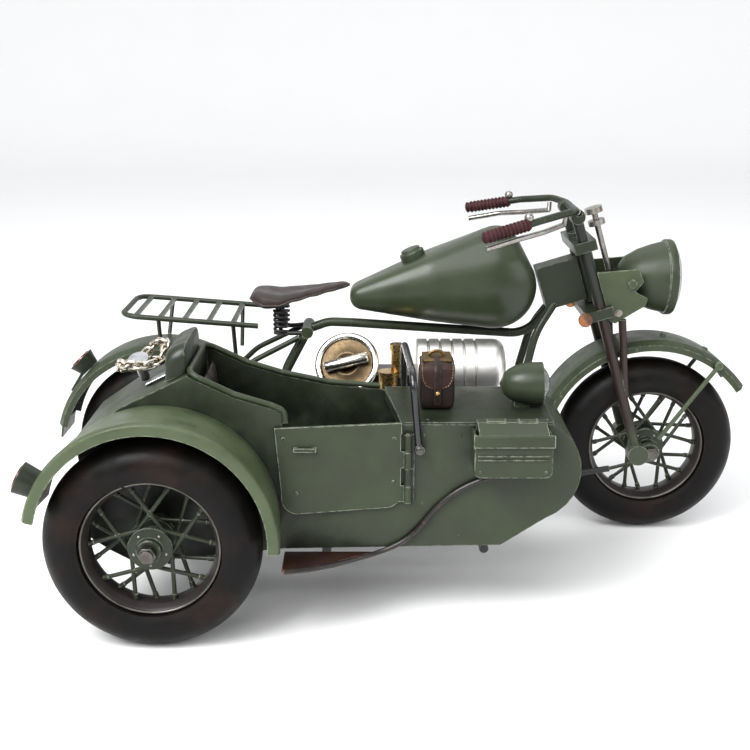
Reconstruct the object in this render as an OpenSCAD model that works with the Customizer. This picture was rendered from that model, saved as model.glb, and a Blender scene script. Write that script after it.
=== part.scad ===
// Model motorcycle with a sidecar on its right side, in painted sheet metal.
// +X is forward, +Y is the rider's left, +Z is up, all in millimetres.
// The layout is drawn with its zero under the sidecar wheel, and home() moves it to the middle.

/* [Wheels] */
// Outer diameter of each tyre
wheel_d = 80; // [78:0.5:81]
// Width of each tyre
tyre_w = 18.6; // [16:0.2:19]
// Diameter of the rim's bead wires
rim_bead_d = 50.4; // [49:0.2:51]
// Diameter of one spoke
spoke_d = 1.6; // [0.8:0.1:1.8]
// Spokes on each side of a wheel
spokes_per_side = 10; // [6:1:12]
// Diameter of the wheel axles
axle_d = 4; // [3:0.1:4]

/* [Motorcycle] */
// Distance between the motorcycle's two axles
wheelbase = 215; // [213:1:220]
// How far the rear axle stands behind the sidecar axle
rear_setback = 13; // [11:0.5:15]
// Distance between the sidecar wheel's plane and the motorcycle's plane
track = 110; // [109:0.5:112]
// Angle of the steering axis from upright
rake = 16.8; // [16:0.1:17.5]
// Width over the two grips
bar_w = 89; // [84:1:94]
// Diameter of each fork leg
fork_leg_d = 4.4; // [3.6:0.1:4.6]
// Diameter of the main frame tubes
frame_tube_d = 4; // [3:0.1:4.2]

/* [Sidecar] */
// Width of the sidecar body
tub_w = 46; // [44:0.5:48]
// Thickness of the sheet metal walls
sheet_t = 1.2; // [0.8:0.1:1.4]
// Height of the front deck
deck_z = 79.4; // [79:0.1:80]
// Radius of the rounded nose
nose_r = 20.3; // [19.8:0.1:20.8]
// Diameter of the black grab hoop
hoop_d = 2.8; // [2:0.1:3]

/* [Hinges] */
// Diameter of the door's hinge pin
door_pin_d = 1.4; // [1.2:0.1:1.5]
// Diameter of the toolbox lid's hinge pin
lid_pin_d = 1.2; // [1:0.1:1.3]
// Radial clearance of every turning fit
run_gap = 0.05; // [0.02:0.01:0.08]

/* [Hidden] */
$fn = 48;

green = "darkolivegreen";
steel = "silver";
dark = "dimgray";

// Wheels
wheel_r = wheel_d / 2;
tyre_mid_r = wheel_r - tyre_w / 2;
axle_z = wheel_r;
axle_r = axle_d / 2;
bore_r = axle_r + run_gap;
rim_seat_r = 26;
rim_well_r = 23;
rim_bead_r = rim_bead_d / 2;
rim_half_w = 5.8;
hub_flange_r = 7.6;
hub_half_w = 9.4;
spoke_r = spoke_d / 2;
spoke_twist = 62;

// Layout
rear_x = -rear_setback;
front_x = rear_x + wheelbase;
tail_x = -60;
fender_front_x = 243.4;
hub_nut_y = -13.6;
bar_end_y = track + bar_w / 2;
mid = [(tail_x + fender_front_x) / 2, (hub_nut_y + bar_end_y) / 2, 0];

// Steering, in its own tilted frame: z runs up the steering axis
head_pos = [170.2, 0, 126];
stem_r = 2.5;
head_len = 24;
crown_z = 4;
crown_t = 4.5;
lower_crown_z = -26;
leg_r = fork_leg_d / 2;
leg_y = 15.3;
leg_top = 18.5;
leg_foot = -90;
dropout_x = (front_x - head_pos[0]) * cos(rake) - (head_pos[2] - axle_z) * sin(rake);
dropout_z = -(front_x - head_pos[0]) * sin(rake) - (head_pos[2] - axle_z) * cos(rake);
tube_r = frame_tube_d / 2;

// Motorcycle fenders
front_fender_r = 50;
rear_fender_r = 48;
fender_half_w = 12.3;
fender_lip = 4.4;

// Sidecar body
tub_y = 16;
tub_far_y = tub_y + tub_w;
nose_c = [137, 61.3];
nose_top_a = asin((deck_z - nose_c[1]) / nose_r);
bulkhead_x = 12;
tub_outline = concat(
    [[-20, 29.5], [-12.5, 25.3], [18, 27], [46, 30], [128, 31.5]],
    arc(nose_c, nose_r, -68, nose_top_a, 10),
    [[84, deck_z], [62, 81.5], [43, 85.5], [29, 89.9], [bulkhead_x, 98],
     [-12.6, 86], [-30, 74], [-27, 34.5]]);

// Sidecar fender: its arc's centre sits a little off the wheel's axle
sc_fender_c = [1, 43];
sc_fender_r = 46;

// Door and its hinge
door_x0 = 43.6;
door_x1 = 90.4;
door_y = 14.6;
door_t = 1.1;
doorway = [[46.5, 48.5], [88.6, 110]];
pin_x = 92.7;
pin_y = 14.2;
knuckle_r = 1.4;
hinge_z0 = 49.6;
knuckle_h = 6.5;
knuckle_gap = 0.2;
door_pin_r = door_pin_d / 2;

// Toolbox and its lid
box_x = [116.3, 144.6];
box_y = 4;
box_z = [63, 78.2];
box_t = 0.9;
lid_pin_y = 14.4;
lid_pin_z = 81;
lid_pin_r = lid_pin_d / 2;
lid_knuckle_r = 1.3;

// ---- helpers ----

function arc(c, r, a0, a1, n) =
    [for (i = [0 : n]) let (a = a0 + (a1 - a0) * i / n) c + r * [cos(a), sin(a)]];

function unit(v) = v / norm(v);

// The outline moved inward by d. Its points run anticlockwise.
function inset(p, d) = [for (i = [0 : len(p) - 1])
    let (n = len(p), u = unit(p[i] - p[(i + n - 1) % n]), v = unit(p[(i + 1) % n] - p[i]),
         side = [-u[1], u[0]], bis = unit(side + [-v[1], v[0]]))
    p[i] + bis * d / (bis * side)];

// Moves the layout so that its middle is at the origin
module home() { translate(-mid) children(); }

// The motorcycle's own frame: y is zero on its middle plane
module bike() { home() translate([0, track, 0]) children(); }

// The steering frame
module steer() { bike() translate(head_pos) rotate([0, -rake, 0]) children(); }

module both_sides() { children(); mirror([0, 1, 0]) children(); }

module rod(a, b, r) {
    d = b - a;
    translate(a) rotate([0, acos(d[2] / norm(d)), atan2(d[1], d[0])]) cylinder(h = norm(d), r = r);
}

// A round bar along the points, bent round each inner one to the radius 'bend', or to
// a smaller one where the lengths beside it are short. Each bend is a touch slimmer than
// the bar and laps a little way into it.
module pipe(pts, r, bend) {
    share = 0.45;
    slim = 0.98;
    lap = 0.2;
    last = len(pts) - 1;
    dir = [for (i = [0 : last - 1]) unit(pts[i + 1] - pts[i])];
    half_turn = [for (i = [0 : last]) i == 0 || i == last ? 0 : acos(dir[i - 1] * dir[i]) / 2];
    room = [for (i = [0 : last]) i == 0 || i == last ? 0
        : share * min(norm(pts[i] - pts[i - 1]), norm(pts[i + 1] - pts[i]))];
    cut = [for (i = [0 : last]) min(room[i], bend * tan(half_turn[i]))];
    for (i = [0 : last - 1]) rod(pts[i] + dir[i] * cut[i], pts[i + 1] - dir[i] * cut[i + 1], r);
    for (i = [1 : last - 1]) {
        radius = cut[i] / tan(half_turn[i]);
        over = lap / radius * 180 / PI;
        from = dir[i - 1];
        out = unit(from * (from * dir[i]) - dir[i]);
        up = cross(out, from);
        c = pts[i] - from * cut[i] - out * radius;
        multmatrix([[out[0], from[0], up[0], c[0]], [out[1], from[1], up[1], c[1]],
                    [out[2], from[2], up[2], c[2]]])
            rotate([0, 0, -over]) rotate_extrude(angle = 2 * (half_turn[i] + over))
                translate([radius, 0]) circle(r = r * slim);
    }
}

// Extrudes an XZ outline from y0 to y1
module slab(y0, y1) { translate([0, y1, 0]) rotate([90, 0, 0]) linear_extrude(y1 - y0) children(); }

// A cylinder along Y from y0 to y1
module drum(y0, y1, r) { translate([0, y1, 0]) rotate([90, 0, 0]) cylinder(h = y1 - y0, r = r); }

// Turns a profile about the Y axis, with its second coordinate across the width,
// from angle a0 to a1 as seen with X to the right and Z up
module sweep_y(a0, a1) {
    rotate([90, 0, 0]) rotate([0, 0, a0]) rotate_extrude(angle = a1 - a0, $fn = 96) children();
}

// ---- wheels, each about its own axle on the Y axis ----

module at_sidecar_wheel() { home() translate([0, 0, axle_z]) children(); }
module at_rear_wheel() { bike() translate([rear_x, 0, axle_z]) children(); }
module at_front_wheel() { bike() translate([front_x, 0, axle_z]) children(); }

module tyre() {
    color("black") rotate([90, 0, 0]) rotate_extrude($fn = 96) difference() {
        translate([tyre_mid_r, 0]) circle(d = tyre_w);
        translate([0, -tyre_w]) square([rim_seat_r, 2 * tyre_w]);
    }
}

module rim() {
    slope = 1.6;
    color(dark) rotate([90, 0, 0]) rotate_extrude($fn = 96) {
        polygon([[rim_seat_r, -rim_half_w], [rim_seat_r, rim_half_w],
                 [rim_seat_r - slope, rim_half_w], [rim_well_r, rim_half_w / 2],
                 [rim_well_r, -rim_half_w / 2], [rim_seat_r - slope, -rim_half_w]]);
        for (s = [-1, 1]) translate([rim_bead_r, s * rim_half_w]) circle(r = 0.75, $fn = 24);
    }
}

// Crossed spokes, trimmed to the hub flanges and the rim's well
module spokes() {
    flange_y = 4;
    rim_y = 1.4;
    color(green) intersection() {
        for (s = [-1, 1], i = [0 : spokes_per_side - 1]) {
            a = (i + (s > 0 ? 0.5 : 0)) * 360 / spokes_per_side;
            b = a + (i % 2 == 0 ? spoke_twist : -spoke_twist);
            rod([hub_flange_r * cos(b), s * flange_y, hub_flange_r * sin(b)],
                [(rim_well_r + 1) * cos(a), s * rim_y, (rim_well_r + 1) * sin(a)], spoke_r);
        }
        difference() {
            drum(-hub_half_w, hub_half_w, rim_well_r);
            drum(-hub_half_w - 1, hub_half_w + 1, hub_flange_r);
        }
    }
}

module hub() {
    disc_r = 8.1;
    boss_r = 4.7;
    color(green) difference() {
        union() {
            drum(-hub_half_w, hub_half_w, boss_r);
            both_sides() drum(3, 5, hub_flange_r);
            both_sides() drum(4.9, 6.4, disc_r);
        }
        drum(-hub_half_w - 1, hub_half_w + 1, bore_r);
    }
}

module sidecar_tyre() { at_sidecar_wheel() tyre(); }
module sidecar_rim() { at_sidecar_wheel() rim(); }
module sidecar_spokes() { at_sidecar_wheel() spokes(); }
module sidecar_hub() { at_sidecar_wheel() hub(); }
module rear_tyre() { at_rear_wheel() tyre(); }
module rear_rim() { at_rear_wheel() rim(); }
module rear_spokes() { at_rear_wheel() spokes(); }
module rear_hub() { at_rear_wheel() hub(); }
module front_tyre() { at_front_wheel() tyre(); }
module front_rim() { at_front_wheel() rim(); }
module front_spokes() { at_front_wheel() spokes(); }
module front_hub() { at_front_wheel() hub(); }

// A six-sided nut along Y, its inner face at y0
module nut(y0, h, across) { translate([0, y0 + h, 0]) rotate([90, 0, 0]) cylinder(h = h, d = across, $fn = 6); }

// The sidecar's stub axle and the motorcycle's rear axle
module fixed_axles() {
    nut_d = 6.6;
    flange_r = 5;
    color(steel) home() translate([0, 0, axle_z]) {
        drum(hub_nut_y + 0.2, tub_y, axle_r);
        drum(hub_half_w + 0.4, tub_y - 1.5, axle_r + 1.2);
        drum(tub_y - 1.6, tub_y, flange_r);
        nut(-hub_half_w - 3.2, 2.8, nut_d);
        drum(hub_nut_y, hub_nut_y + 1.2, axle_r + 0.4);
    }
    color(steel) at_rear_wheel() both_sides() {
        drum(0, 19.5, axle_r);
        drum(hub_half_w + 0.4, 12.6, axle_r + 1.2);
        nut(16.4, 2.4, nut_d);
    }
}

// ---- steering assembly ----

// Stem and the two yokes that clamp the fork legs
module fork_crown() {
    front = 5;
    reach = leg_y + leg_r + 1;
    color(green) steer() difference() {
        union() {
            translate([0, 0, lower_crown_z + 1]) cylinder(h = crown_z - lower_crown_z + crown_t, r = stem_r);
            translate([-4.5, -reach, crown_z]) cube([4.5 + front, 2 * reach, crown_t]);
            translate([-7, -reach, lower_crown_z]) cube([7 + front, 2 * reach, crown_t]);
            translate([0, 0, crown_z + crown_t]) cylinder(h = 2, r = 3.6, $fn = 6);
        }
        both_sides() translate([0, leg_y, lower_crown_z - 1]) cylinder(h = 60, r = leg_r);
    }
}

// Legs, with a boss at each foot and a link forward to the axle, and a brace in front
module fork_legs() {
    boss_r = 4.5;
    link_t = 3;
    color("sienna") steer() both_sides() {
        translate([0, leg_y, leg_foot]) cylinder(h = leg_top - leg_foot, r = leg_r);
        translate([0, leg_y, leg_foot]) drum(-2.9, 3.6, boss_r);
        difference() {
            translate([dropout_x, leg_y, dropout_z]) drum(-2.6, 0.6, 4);
            translate([dropout_x, leg_y, dropout_z]) drum(-4, 4, axle_r);
        }
        rod([8, leg_y, -29], [1.2, leg_y, -62], 1.7);
    }
}

module front_axle() {
    color(steel) at_front_wheel() both_sides() {
        drum(0, leg_y + 3.4, axle_r);
        drum(hub_half_w + 0.4, leg_y - 2.7, axle_r + 1);
        nut(leg_y + 0.7, 2.2, 6.4);
    }
}

// Half of the bar's route, outward from the middle
bar_route = [[165.2, 0, 146.2], [164.6, 15, 146.6], [160, 24, 147.4], [147, 33.5, 145.4]];
bar_r = 1.5;
bar_end = [123.5, bar_w / 2, 140.2];
grip_l = 19;

module handlebar() {
    grip_dir = unit(bar_end - bar_route[3]);
    color(green) bike() both_sides() {
        pipe(concat(bar_route, [bar_end - grip_dir * grip_l]), bar_r, 9);
        difference() {
            translate([164.8, leg_y, 144.6]) drum(-3, 3, 3.1);
            rod(bar_route[0] + [0, 10, 0], bar_route[1] + [0, 10, 0], bar_r);
        }
    }
}

// Ribbed rubber grips
module grips() {
    grip_dir = unit(bar_end - bar_route[3]);
    start = bar_end - grip_dir * grip_l;
    ribs = 9;
    color("rosybrown") bike() both_sides() {
        rod(start, bar_end, 2.2);
        for (i = [0 : ribs - 1]) {
            p = start + grip_dir * (grip_l * (i + 0.25) / ribs);
            rod(p, p + grip_dir * grip_l / ribs / 2, 2.7);
        }
    }
}

// Two polished levers with their pivots, and the polished steering damper in front of the stem
module control_levers() {
    lever_r = 1.1;
    damper = [9.6, 0, 16];
    color(steel) bike() both_sides() {
        pipe([[158.5, 21.5, 142.2], [149, 29.5, 140.2], [138, 37, 138.6], [124.5, 42.5, 135.4]], lever_r, 12);
        rod([158.5, 21.5, 141.8], [158.8, 22.5, 145.6], 1);
        translate([142, 36.2, 147.1]) sphere(1.9);
    }
    color(steel) steer() translate(damper) {
        cylinder(h = 2.4, r = 3.8);
        translate([0, 0, -5.4]) cylinder(h = 2.2, r = 3.6);
        translate([0, 0, -26]) cylinder(h = 27, r = 1.3);
    }
}

lamp_c = [0, 0, 116];

// The headlamp's axis along X. Its profile runs from the back of the bowl to the rim.
module headlamp_shell() {
    wall = 1;
    color(green) bike() translate(lamp_c) rotate([0, 90, 0]) rotate_extrude($fn = 96) difference() {
        polygon([[0, 186], [5.5, 186.6], [9.2, 189.5], [12.2, 195], [15.3, 206], [16.4, 206],
                 [16.4, 209.6], [0, 209.6]]);
        polygon([[-1, 187.6], [5, 187.6], [8.2, 190.4], [11.2, 195.6], [14.6, 208.6], [14.6, 211], [-1, 211]]);
    }
}

module headlamp_lens() {
    color("azure") bike() translate(lamp_c) rotate([0, 90, 0]) rotate_extrude($fn = 96) {
        polygon(concat([[0, 208.7], [14.5, 208.7]], arc([0, 181], 32.2, 63.2, 90, 8)));
    }
}

module headlamp_brackets() {
    plate = [[174.2, 120.8], [192.2, 122.3], [194.4, 116.9], [191.1, 112.6], [196.5, 109.6],
             [195.5, 106.4], [183.2, 98.8], [181, 99.6]];
    color(green) bike() both_sides() {
        slab(leg_y - 0.6, leg_y + 0.6) polygon(plate);
        translate([189.6, 0, 116]) drum(9.6, leg_y + 1.6, 1.8);
    }
}

// The sheet profile of a fender: a crown with a turned-down lip along each edge
module fender_profile(r, half_w, lip) {
    t = 0.9;
    shoulder = half_w - 3;
    polygon([[r - lip, half_w], [r - 1.8, half_w], [r, shoulder], [r, -shoulder], [r - 1.8, -half_w],
             [r - lip, -half_w], [r - lip, t - half_w], [r - 2.2, t - half_w], [r - t, t - shoulder],
             [r - t, shoulder - t], [r - 2.2, half_w - t], [r - lip, half_w - t]]);
}

module front_fender() {
    color(green) at_front_wheel() {
        sweep_y(36, 164) fender_profile(front_fender_r, fender_half_w, fender_lip);
        for (a = [60, 83]) rotate([0, -a, 0]) translate([front_fender_r - 0.3, 0, 0])
            rotate([0, 90, 0]) cylinder(h = 1.4, r1 = 1.6, r2 = 1);
    }
}

// Front stays, and the pads that fix the fender to the legs
module fender_stays() {
    y = fender_half_w + 1.1;
    color(green) at_front_wheel() both_sides() {
        rod([28.5, y, 40.2], [4, y, 6], 0.95);
        translate([27.8, fender_half_w, 39.4]) drum(0, 2, 1.7);
        difference() {
            drum(y - 0.9, y + 0.6, 3.6);
            drum(y - 2, y + 2, axle_r + 1);
        }
        translate([-14.6, 0, 46]) drum(fender_half_w, leg_y - leg_r, 1.4);
    }
}

module side_reflectors() {
    color("orange") steer() both_sides()
        translate([-7.6, leg_y + leg_r + 1.1, lower_crown_z + 2.4]) drum(0, 1.8, 3);
}

// ---- motorcycle frame and engine ----

module steering_head() {
    color(green) steer() translate([0, 0, crown_z - 0.5 - head_len]) difference() {
        union() {
            cylinder(h = head_len, r = 4.6);
            translate([-21, -5.5, 2]) cube([18, 11, head_len - 5]);
        }
        translate([0, 0, -1]) cylinder(h = head_len + 2, r = stem_r + run_gap);
    }
}

module top_tube() {
    color(green) bike() {
        pipe([[49.5, 0, 92.2], [60, 0, 96], [70, 0, 95.6], [147, 0, 90.6], [157.4, 0, 103.2]], tube_r, 14);
        translate([51, 0, 93]) drum(-9, 9, 2.6);
    }
}

module down_tubes() {
    color(green) bike() both_sides()
        pipe([[158.6, 4, 105], [150.5, 8, 93], [145, 10, 70], [144.4, 10, 38.8]], 1.7, 30);
}

module seat_tubes() {
    color(green) bike() both_sides() pipe([[49.8, 7.2, 90.6], [39.8, 9, 72], [30.5, 10, 30.6]], 1.7, 30);
}

module cradle_rails() {
    r = 1.8;
    color(green) bike() both_sides()
        pipe([[144.4, 10, 38.8], [142.5, 10, 32], [136, 10, 28.6], [44, 10, 28.6], [24, 12.6, 29.2],
              [2, 13.4, 33.6], [-8.6, 14.6, 38.2]], r, 8);
}

// Thin stays down to the rear axle, with a drilled lug on each side
module rear_stays() {
    y = 14.6;
    color(green) bike() both_sides() {
        pipe([[47.6, 10.4, 91.4], [27, 12.2, 81], [-10.4, y, 44.4]], 1.2, 20);
        difference() {
            translate([rear_x, 0, axle_z]) drum(y - 1.8, y + 1.6, 4.6);
            translate([rear_x, 0, axle_z]) drum(y - 3, y + 3, axle_r);
        }
    }
}

barrel_c = [98, -17, 79];
barrel_r = 13.2;
barrel_l = 38;

// Dark casing, hollowed where the barrel lies in it
module crankcase() {
    color(dark) bike() difference() {
        union() {
            translate([80, 0, 52]) drum(-14, 14, 19);
            translate([82, -12, 33.2]) cube([50, 24, 28]);
            translate([66, -9, 60]) cube([58, 18, 14]);
            both_sides() translate([118, 0, 48]) drum(11, 15, 10);
        }
        translate(barrel_c - [0.1, 0, 0]) rotate([0, 90, 0]) cylinder(h = barrel_l + 0.2, r = barrel_r + 0.1);
    }
}

// Bright finned barrel lying along the frame, with a rounded front end
module engine_barrel() {
    groove = 0.8;
    r = barrel_r;
    color(steel) bike() translate(barrel_c) rotate([0, 90, 0]) rotate_extrude($fn = 96) difference() {
        polygon(concat([[0, 0], [r - 1, 0], [r, 1]], arc([r - 5, barrel_l - 5], 5, 0, 90, 6), [[0, barrel_l]]));
        for (x = [5 : 5 : 25]) translate([r - groove, x]) square([2, 0.9]);
    }
}

// Polished round cover: a raised ring, a dish and a bar across it
module gearbox_cover() {
    ring_r = 12.4;
    color(steel) bike() translate([68.5, -19.5, 82]) rotate([58, -14, 0]) {
        rotate_extrude() translate([ring_r, 0]) circle(r = 1.5, $fn = 24);
        translate([0, 0, -3]) cylinder(h = 3.2, r1 = 8.5, r2 = ring_r - 1);
        rod([-9.4, 0, 2.6], [9.4, 0, 2.6], 2.4);
    }
}

module carburettor() {
    color("gold") bike() translate([90, -18, 0]) {
        translate([0, 0, 76]) cylinder(h = 14, r = 2.6);
        translate([0, 0, 88]) cylinder(h = 2.4, r = 3.2);
        translate([-4, -2, 71]) cylinder(h = 8, r = 4.2);
    }
}

// Tank with a teardrop bulge on each side and a raised spine between them
module fuel_tank() {
    color(green) bike() hull() {
        $fn = 40;
        both_sides() {
            translate([132, 7, 113]) scale([1, 0.52, 1]) sphere(18.3);
            translate([108, 7, 112.6]) scale([1, 0.6, 1]) sphere(15);
            translate([75, 4.6, 108]) scale([1, 0.8, 1]) sphere(5.6);
        }
        translate([133, 0, 128]) sphere(10.6);
        translate([102, 0, 117]) sphere(9);
    }
}

module tank_cap() {
    color(green) bike() translate([98, 0, 122.6]) rotate([0, -22, 0]) {
        cylinder(h = 5, r = 5.4);
        translate([0, 0, 4.8]) cylinder(h = 1.6, r = 4.2);
    }
}

// Solo saddle, wide at the back and narrow at the nose
module saddle() {
    color("rosybrown") bike() hull() {
        $fn = 32;
        both_sides() {
            translate([35, 10, 106.6]) sphere(4);
            translate([29.8, 9, 109]) sphere(2.6);
            translate([45, 8.4, 109.2]) sphere(3.4);
        }
        translate([67, 0, 112]) sphere(2.3);
    }
}

// Two coil springs, as stacked rings on posts, down to the frame lug
module saddle_springs() {
    turns = 4;
    pitch = 1.9;
    color(dark) bike() both_sides() translate([39.4, 6.6, 0]) {
        translate([0, 0, 92.4]) cylinder(h = 9.6, r = 1);
        for (i = [0 : turns - 1]) translate([0, 0, 94.6 + i * pitch]) rotate_extrude()
            translate([2.6, 0]) circle(r = 0.6, $fn = 20);
        translate([0, 0, 92.2]) cylinder(h = 1.2, r = 3.2);
        rod([0, 0, 92.6], [9.4, 1.4, 92.6], 1.1);
    }
}

// Luggage rack: a rounded rail with five flat bars, on four legs
module luggage_rack() {
    half_w = 20;
    rail_r = 1.15;
    slope = -0.079;
    z0 = 101.2;
    back = -27;
    front = 31;
    function rail_z(x) = z0 + slope * x;
    color(green) bike() {
        both_sides() {
            pipe([[front, half_w, rail_z(front)], [back + 6, half_w, rail_z(back + 6)],
                  [back + 1.8, half_w - 1.8, rail_z(back)], [back, half_w - 6, rail_z(back)],
                  [back, 0, rail_z(back)]], rail_r, 4);
            rod([20.2, half_w - 1, rail_z(20.2)], [20.2, 11.6, 82], 0.9);
            rod([-11.4, half_w - 1, rail_z(-11.4)], [-12.4, fender_half_w - 1.4, 87.8], 0.9);
        }
        for (x = [-21.1 : 10.3 : 21]) translate([x - 1.1, -half_w, rail_z(x) - 0.4]) cube([2.2, 2 * half_w, 0.8]);
    }
}

module rear_fender() {
    flap_a = 166;
    color(green) at_rear_wheel() {
        sweep_y(38, flap_a) fender_profile(rear_fender_r, fender_half_w, fender_lip);
        sweep_y(flap_a - 1, flap_a + 7) translate([rear_fender_r - 2.4, -fender_half_w + 2])
            square([0.9, 2 * fender_half_w - 4]);
    }
}

// The lamp body used on both rear fenders: its open end points along +X, from its own base
module lamp_body(r0, r1, l) {
    rotate([0, 90, 0]) difference() {
        cylinder(h = l, r1 = r0, r2 = r1);
        translate([0, 0, l - 1.4]) cylinder(h = 2, r = r1 - 0.8);
    }
}

tail_lamp_a = 134;
tail_lamp_base = rear_fender_r + 0.2;
tail_lamp_l = 6;
tail_lamp_r = 6.2;

module at_tail_lamp() {
    at_rear_wheel() rotate([0, -tail_lamp_a, 0]) translate([tail_lamp_base, 0, 0]) children();
}

module tail_lamp() {
    color(green) at_tail_lamp() lamp_body(4.4, tail_lamp_r, tail_lamp_l);
    color(green) at_rear_wheel() rotate([0, -(tail_lamp_a + 14), 0])
        translate([rear_fender_r + 0.1, -2.5, -8.4]) cube([1.1, 5, 9.6]);
}

// ---- sidecar ----

// Chassis tubes under the sidecar body that join it to the motorcycle
module link_tubes() {
    r = 1.8;
    reach = track - 12;
    color(dark) home() {
        for (p = [[2, 24], [62, 27.4], [122, 28.6]]) rod([p[0], tub_y + 3, p[1]], [p[0], reach, p[1]], r);
        pipe([[-6, 70, 24], [62, 70, 27.4], [122, 70, 28.6], [150, 77, 34.4], [181, 79.5, 38.4]], 1.3, 20);
        rod([40, tub_far_y, 60], [40, track - 10.6, 74], 1.5);
    }
}

module tub() {
    inner = inset(tub_outline, sheet_t);
    y0 = tub_y + sheet_t;
    y1 = tub_far_y - sheet_t;
    wall_x = bulkhead_x + sheet_t;
    color(green) home() difference() {
        slab(tub_y, tub_far_y) polygon(tub_outline);
        slab(y0, y1) intersection() {
            polygon(inner);
            translate([-60, 0]) square([60 + bulkhead_x, 120]);
        }
        slab(y0, y1) intersection() {
            polygon(inner);
            translate([wall_x, 0]) square([200, 120]);
        }
        slab(y0, y1) translate([wall_x, 70]) square([132.8 - sheet_t, 60]);
        slab(tub_y - 1, y0 + 1) translate(doorway[0]) square(doorway[1] - doorway[0]);
    }
}

// Flat deck over the foot well, with a turned-down edge toward the cockpit
module front_deck() {
    deck_t = 1;
    rear_near = 90;
    rear_far = 84.4;
    front = nose_c[0] + nose_r * cos(nose_top_a);
    color(green) home() {
        translate([0, 0, deck_z + 0.02]) linear_extrude(deck_t)
            polygon([[rear_near, tub_y], [front, tub_y], [front, tub_far_y], [rear_far, tub_far_y]]);
        translate([0, 0, deck_z - 3]) linear_extrude(3.02)
            polygon([[rear_near, tub_y + sheet_t + 0.1], [rear_near + 1, tub_y + sheet_t + 0.1],
                     [rear_far + 1, tub_far_y - sheet_t - 0.1], [rear_far, tub_far_y - sheet_t - 0.1]]);
    }
}

// Rolled wire along the cockpit's rim
module coaming_bead() {
    r = 1.1;
    lift = r + 0.05;
    near = tub_y + 0.6;
    far = tub_far_y - 0.6;
    rim = [[43, 85.5], [29, 89.9], [bulkhead_x + 0.6, 97.8]];
    color(green) home() pipe(concat(
        [[47.6, near - 0.4, 80.2], [47.4, near, 83.4 + lift]],
        [for (p = rim) [p[0], near, p[1] + lift]],
        [for (i = [2 : -1 : 0]) [rim[i][0], far, rim[i][1] + lift]],
        [[62, far, 81.5 + lift], [82.6, far, deck_z + lift + 0.4]]), r, 5);
}

// Cushion, backrest, and the rounded headrest that stands on the rear deck
module sidecar_seat() {
    y0 = 22;
    y1 = 56;
    color("saddlebrown") home() {
        translate([20, y0 - 1, 33]) cube([32, y1 - y0 + 2, 13]);
        slab(y0, y1) polygon([[14.2, 44], [19.4, 44], [18.6, 94.4], [14.2, 96]]);
        intersection() {
            slab(y0 - 2, y1) polygon([[11.4, 98.1], [11.4, 107], [9.6, 108.6], [4.4, 107.2], [3.2, 105.4],
                                      [3.2, 94.1]]);
            translate([0, (y0 + y1) / 2 - 1, 92]) rotate([90, 0, 90]) linear_extrude(20) {
                translate([-18, 0]) square([36, 10]);
                translate([-12, 0]) square([24, 16.6]);
                for (s = [-1, 1]) translate([s * 12, 10.6]) circle(r = 6);
            }
        }
    }
}

// Fender over the sidecar wheel: wide from the wall outward, with a lip facing out
module sidecar_fender() {
    t = 0.9;
    lip_y = 12;
    wall_r = sc_fender_r - 2;
    inner_y = -tub_y + 0.1;
    color(green) home() translate([sc_fender_c[0], 0, sc_fender_c[1]]) sweep_y(-4, 168)
        polygon([[wall_r, inner_y], [sc_fender_r, lip_y - 2.2], [sc_fender_r - 0.7, lip_y - 0.6],
                 [sc_fender_r - 2.2, lip_y], [sc_fender_r - 4.5, lip_y], [sc_fender_r - 4.5, lip_y - t],
                 [sc_fender_r - 2.6, lip_y - t], [sc_fender_r - 1.4, lip_y - 1.4],
                 [sc_fender_r - t, lip_y - 2.8], [wall_r - t, inner_y]]);
}

fender_lamp_a = 154;
fender_lamp_base = sc_fender_r - 0.1;
fender_lamp_l = 6.6;
fender_lamp_r = 6;

module at_fender_lamp() {
    home() translate([sc_fender_c[0], -2, sc_fender_c[1]]) rotate([0, -fender_lamp_a, 0])
        translate([fender_lamp_base, 0, 0]) children();
}

module fender_lamp() { color(green) at_fender_lamp() lamp_body(5.2, fender_lamp_r, fender_lamp_l); }

deck_lamp_pos = [128, 37, 89];
deck_lamp_l = 16.4;
deck_lamp_r = 8.3;

// Bullet-shaped lamp on a small foot, facing forward
module deck_lamp() {
    r = deck_lamp_r;
    l = deck_lamp_l;
    bowl = [for (i = [0 : 8]) let (u = i / 8) [r * sqrt(1 - pow(1 - u, 2.2)), l * u * 0.86]];
    color(green) home() translate(deck_lamp_pos) {
        rotate([0, 90, 0]) rotate_extrude($fn = 72) difference() {
            polygon(concat(bowl, [[r, l], [0, l]]));
            translate([-1, l - 1.6]) square([r + 0.2, 3]);
        }
        translate([5.5, -3, deck_z + 1.05 - deck_lamp_pos[2]]) cube([6, 6, 2.2]);
    }
}

// Red lenses of both rear lamps, and the clear lens of the deck lamp
module lamp_lenses() {
    color("red") at_tail_lamp() rotate([0, 90, 0]) translate([0, 0, tail_lamp_l - 1.4])
        cylinder(h = 2, r1 = tail_lamp_r - 0.85, r2 = tail_lamp_r - 1.6);
    color("red") at_fender_lamp() rotate([0, 90, 0]) translate([0, 0, fender_lamp_l - 1.4])
        cylinder(h = 2, r1 = fender_lamp_r - 0.85, r2 = fender_lamp_r - 1.6);
    color("azure") home() translate(deck_lamp_pos) rotate([0, 90, 0]) translate([0, 0, deck_lamp_l - 1.6])
        rotate_extrude($fn = 72) polygon(concat([[0, 0], [deck_lamp_r - 0.85, 0], [deck_lamp_r - 0.85, 1]],
            arc([0, -4.86], 9.48, 38.2, 90, 6)));
}

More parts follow.
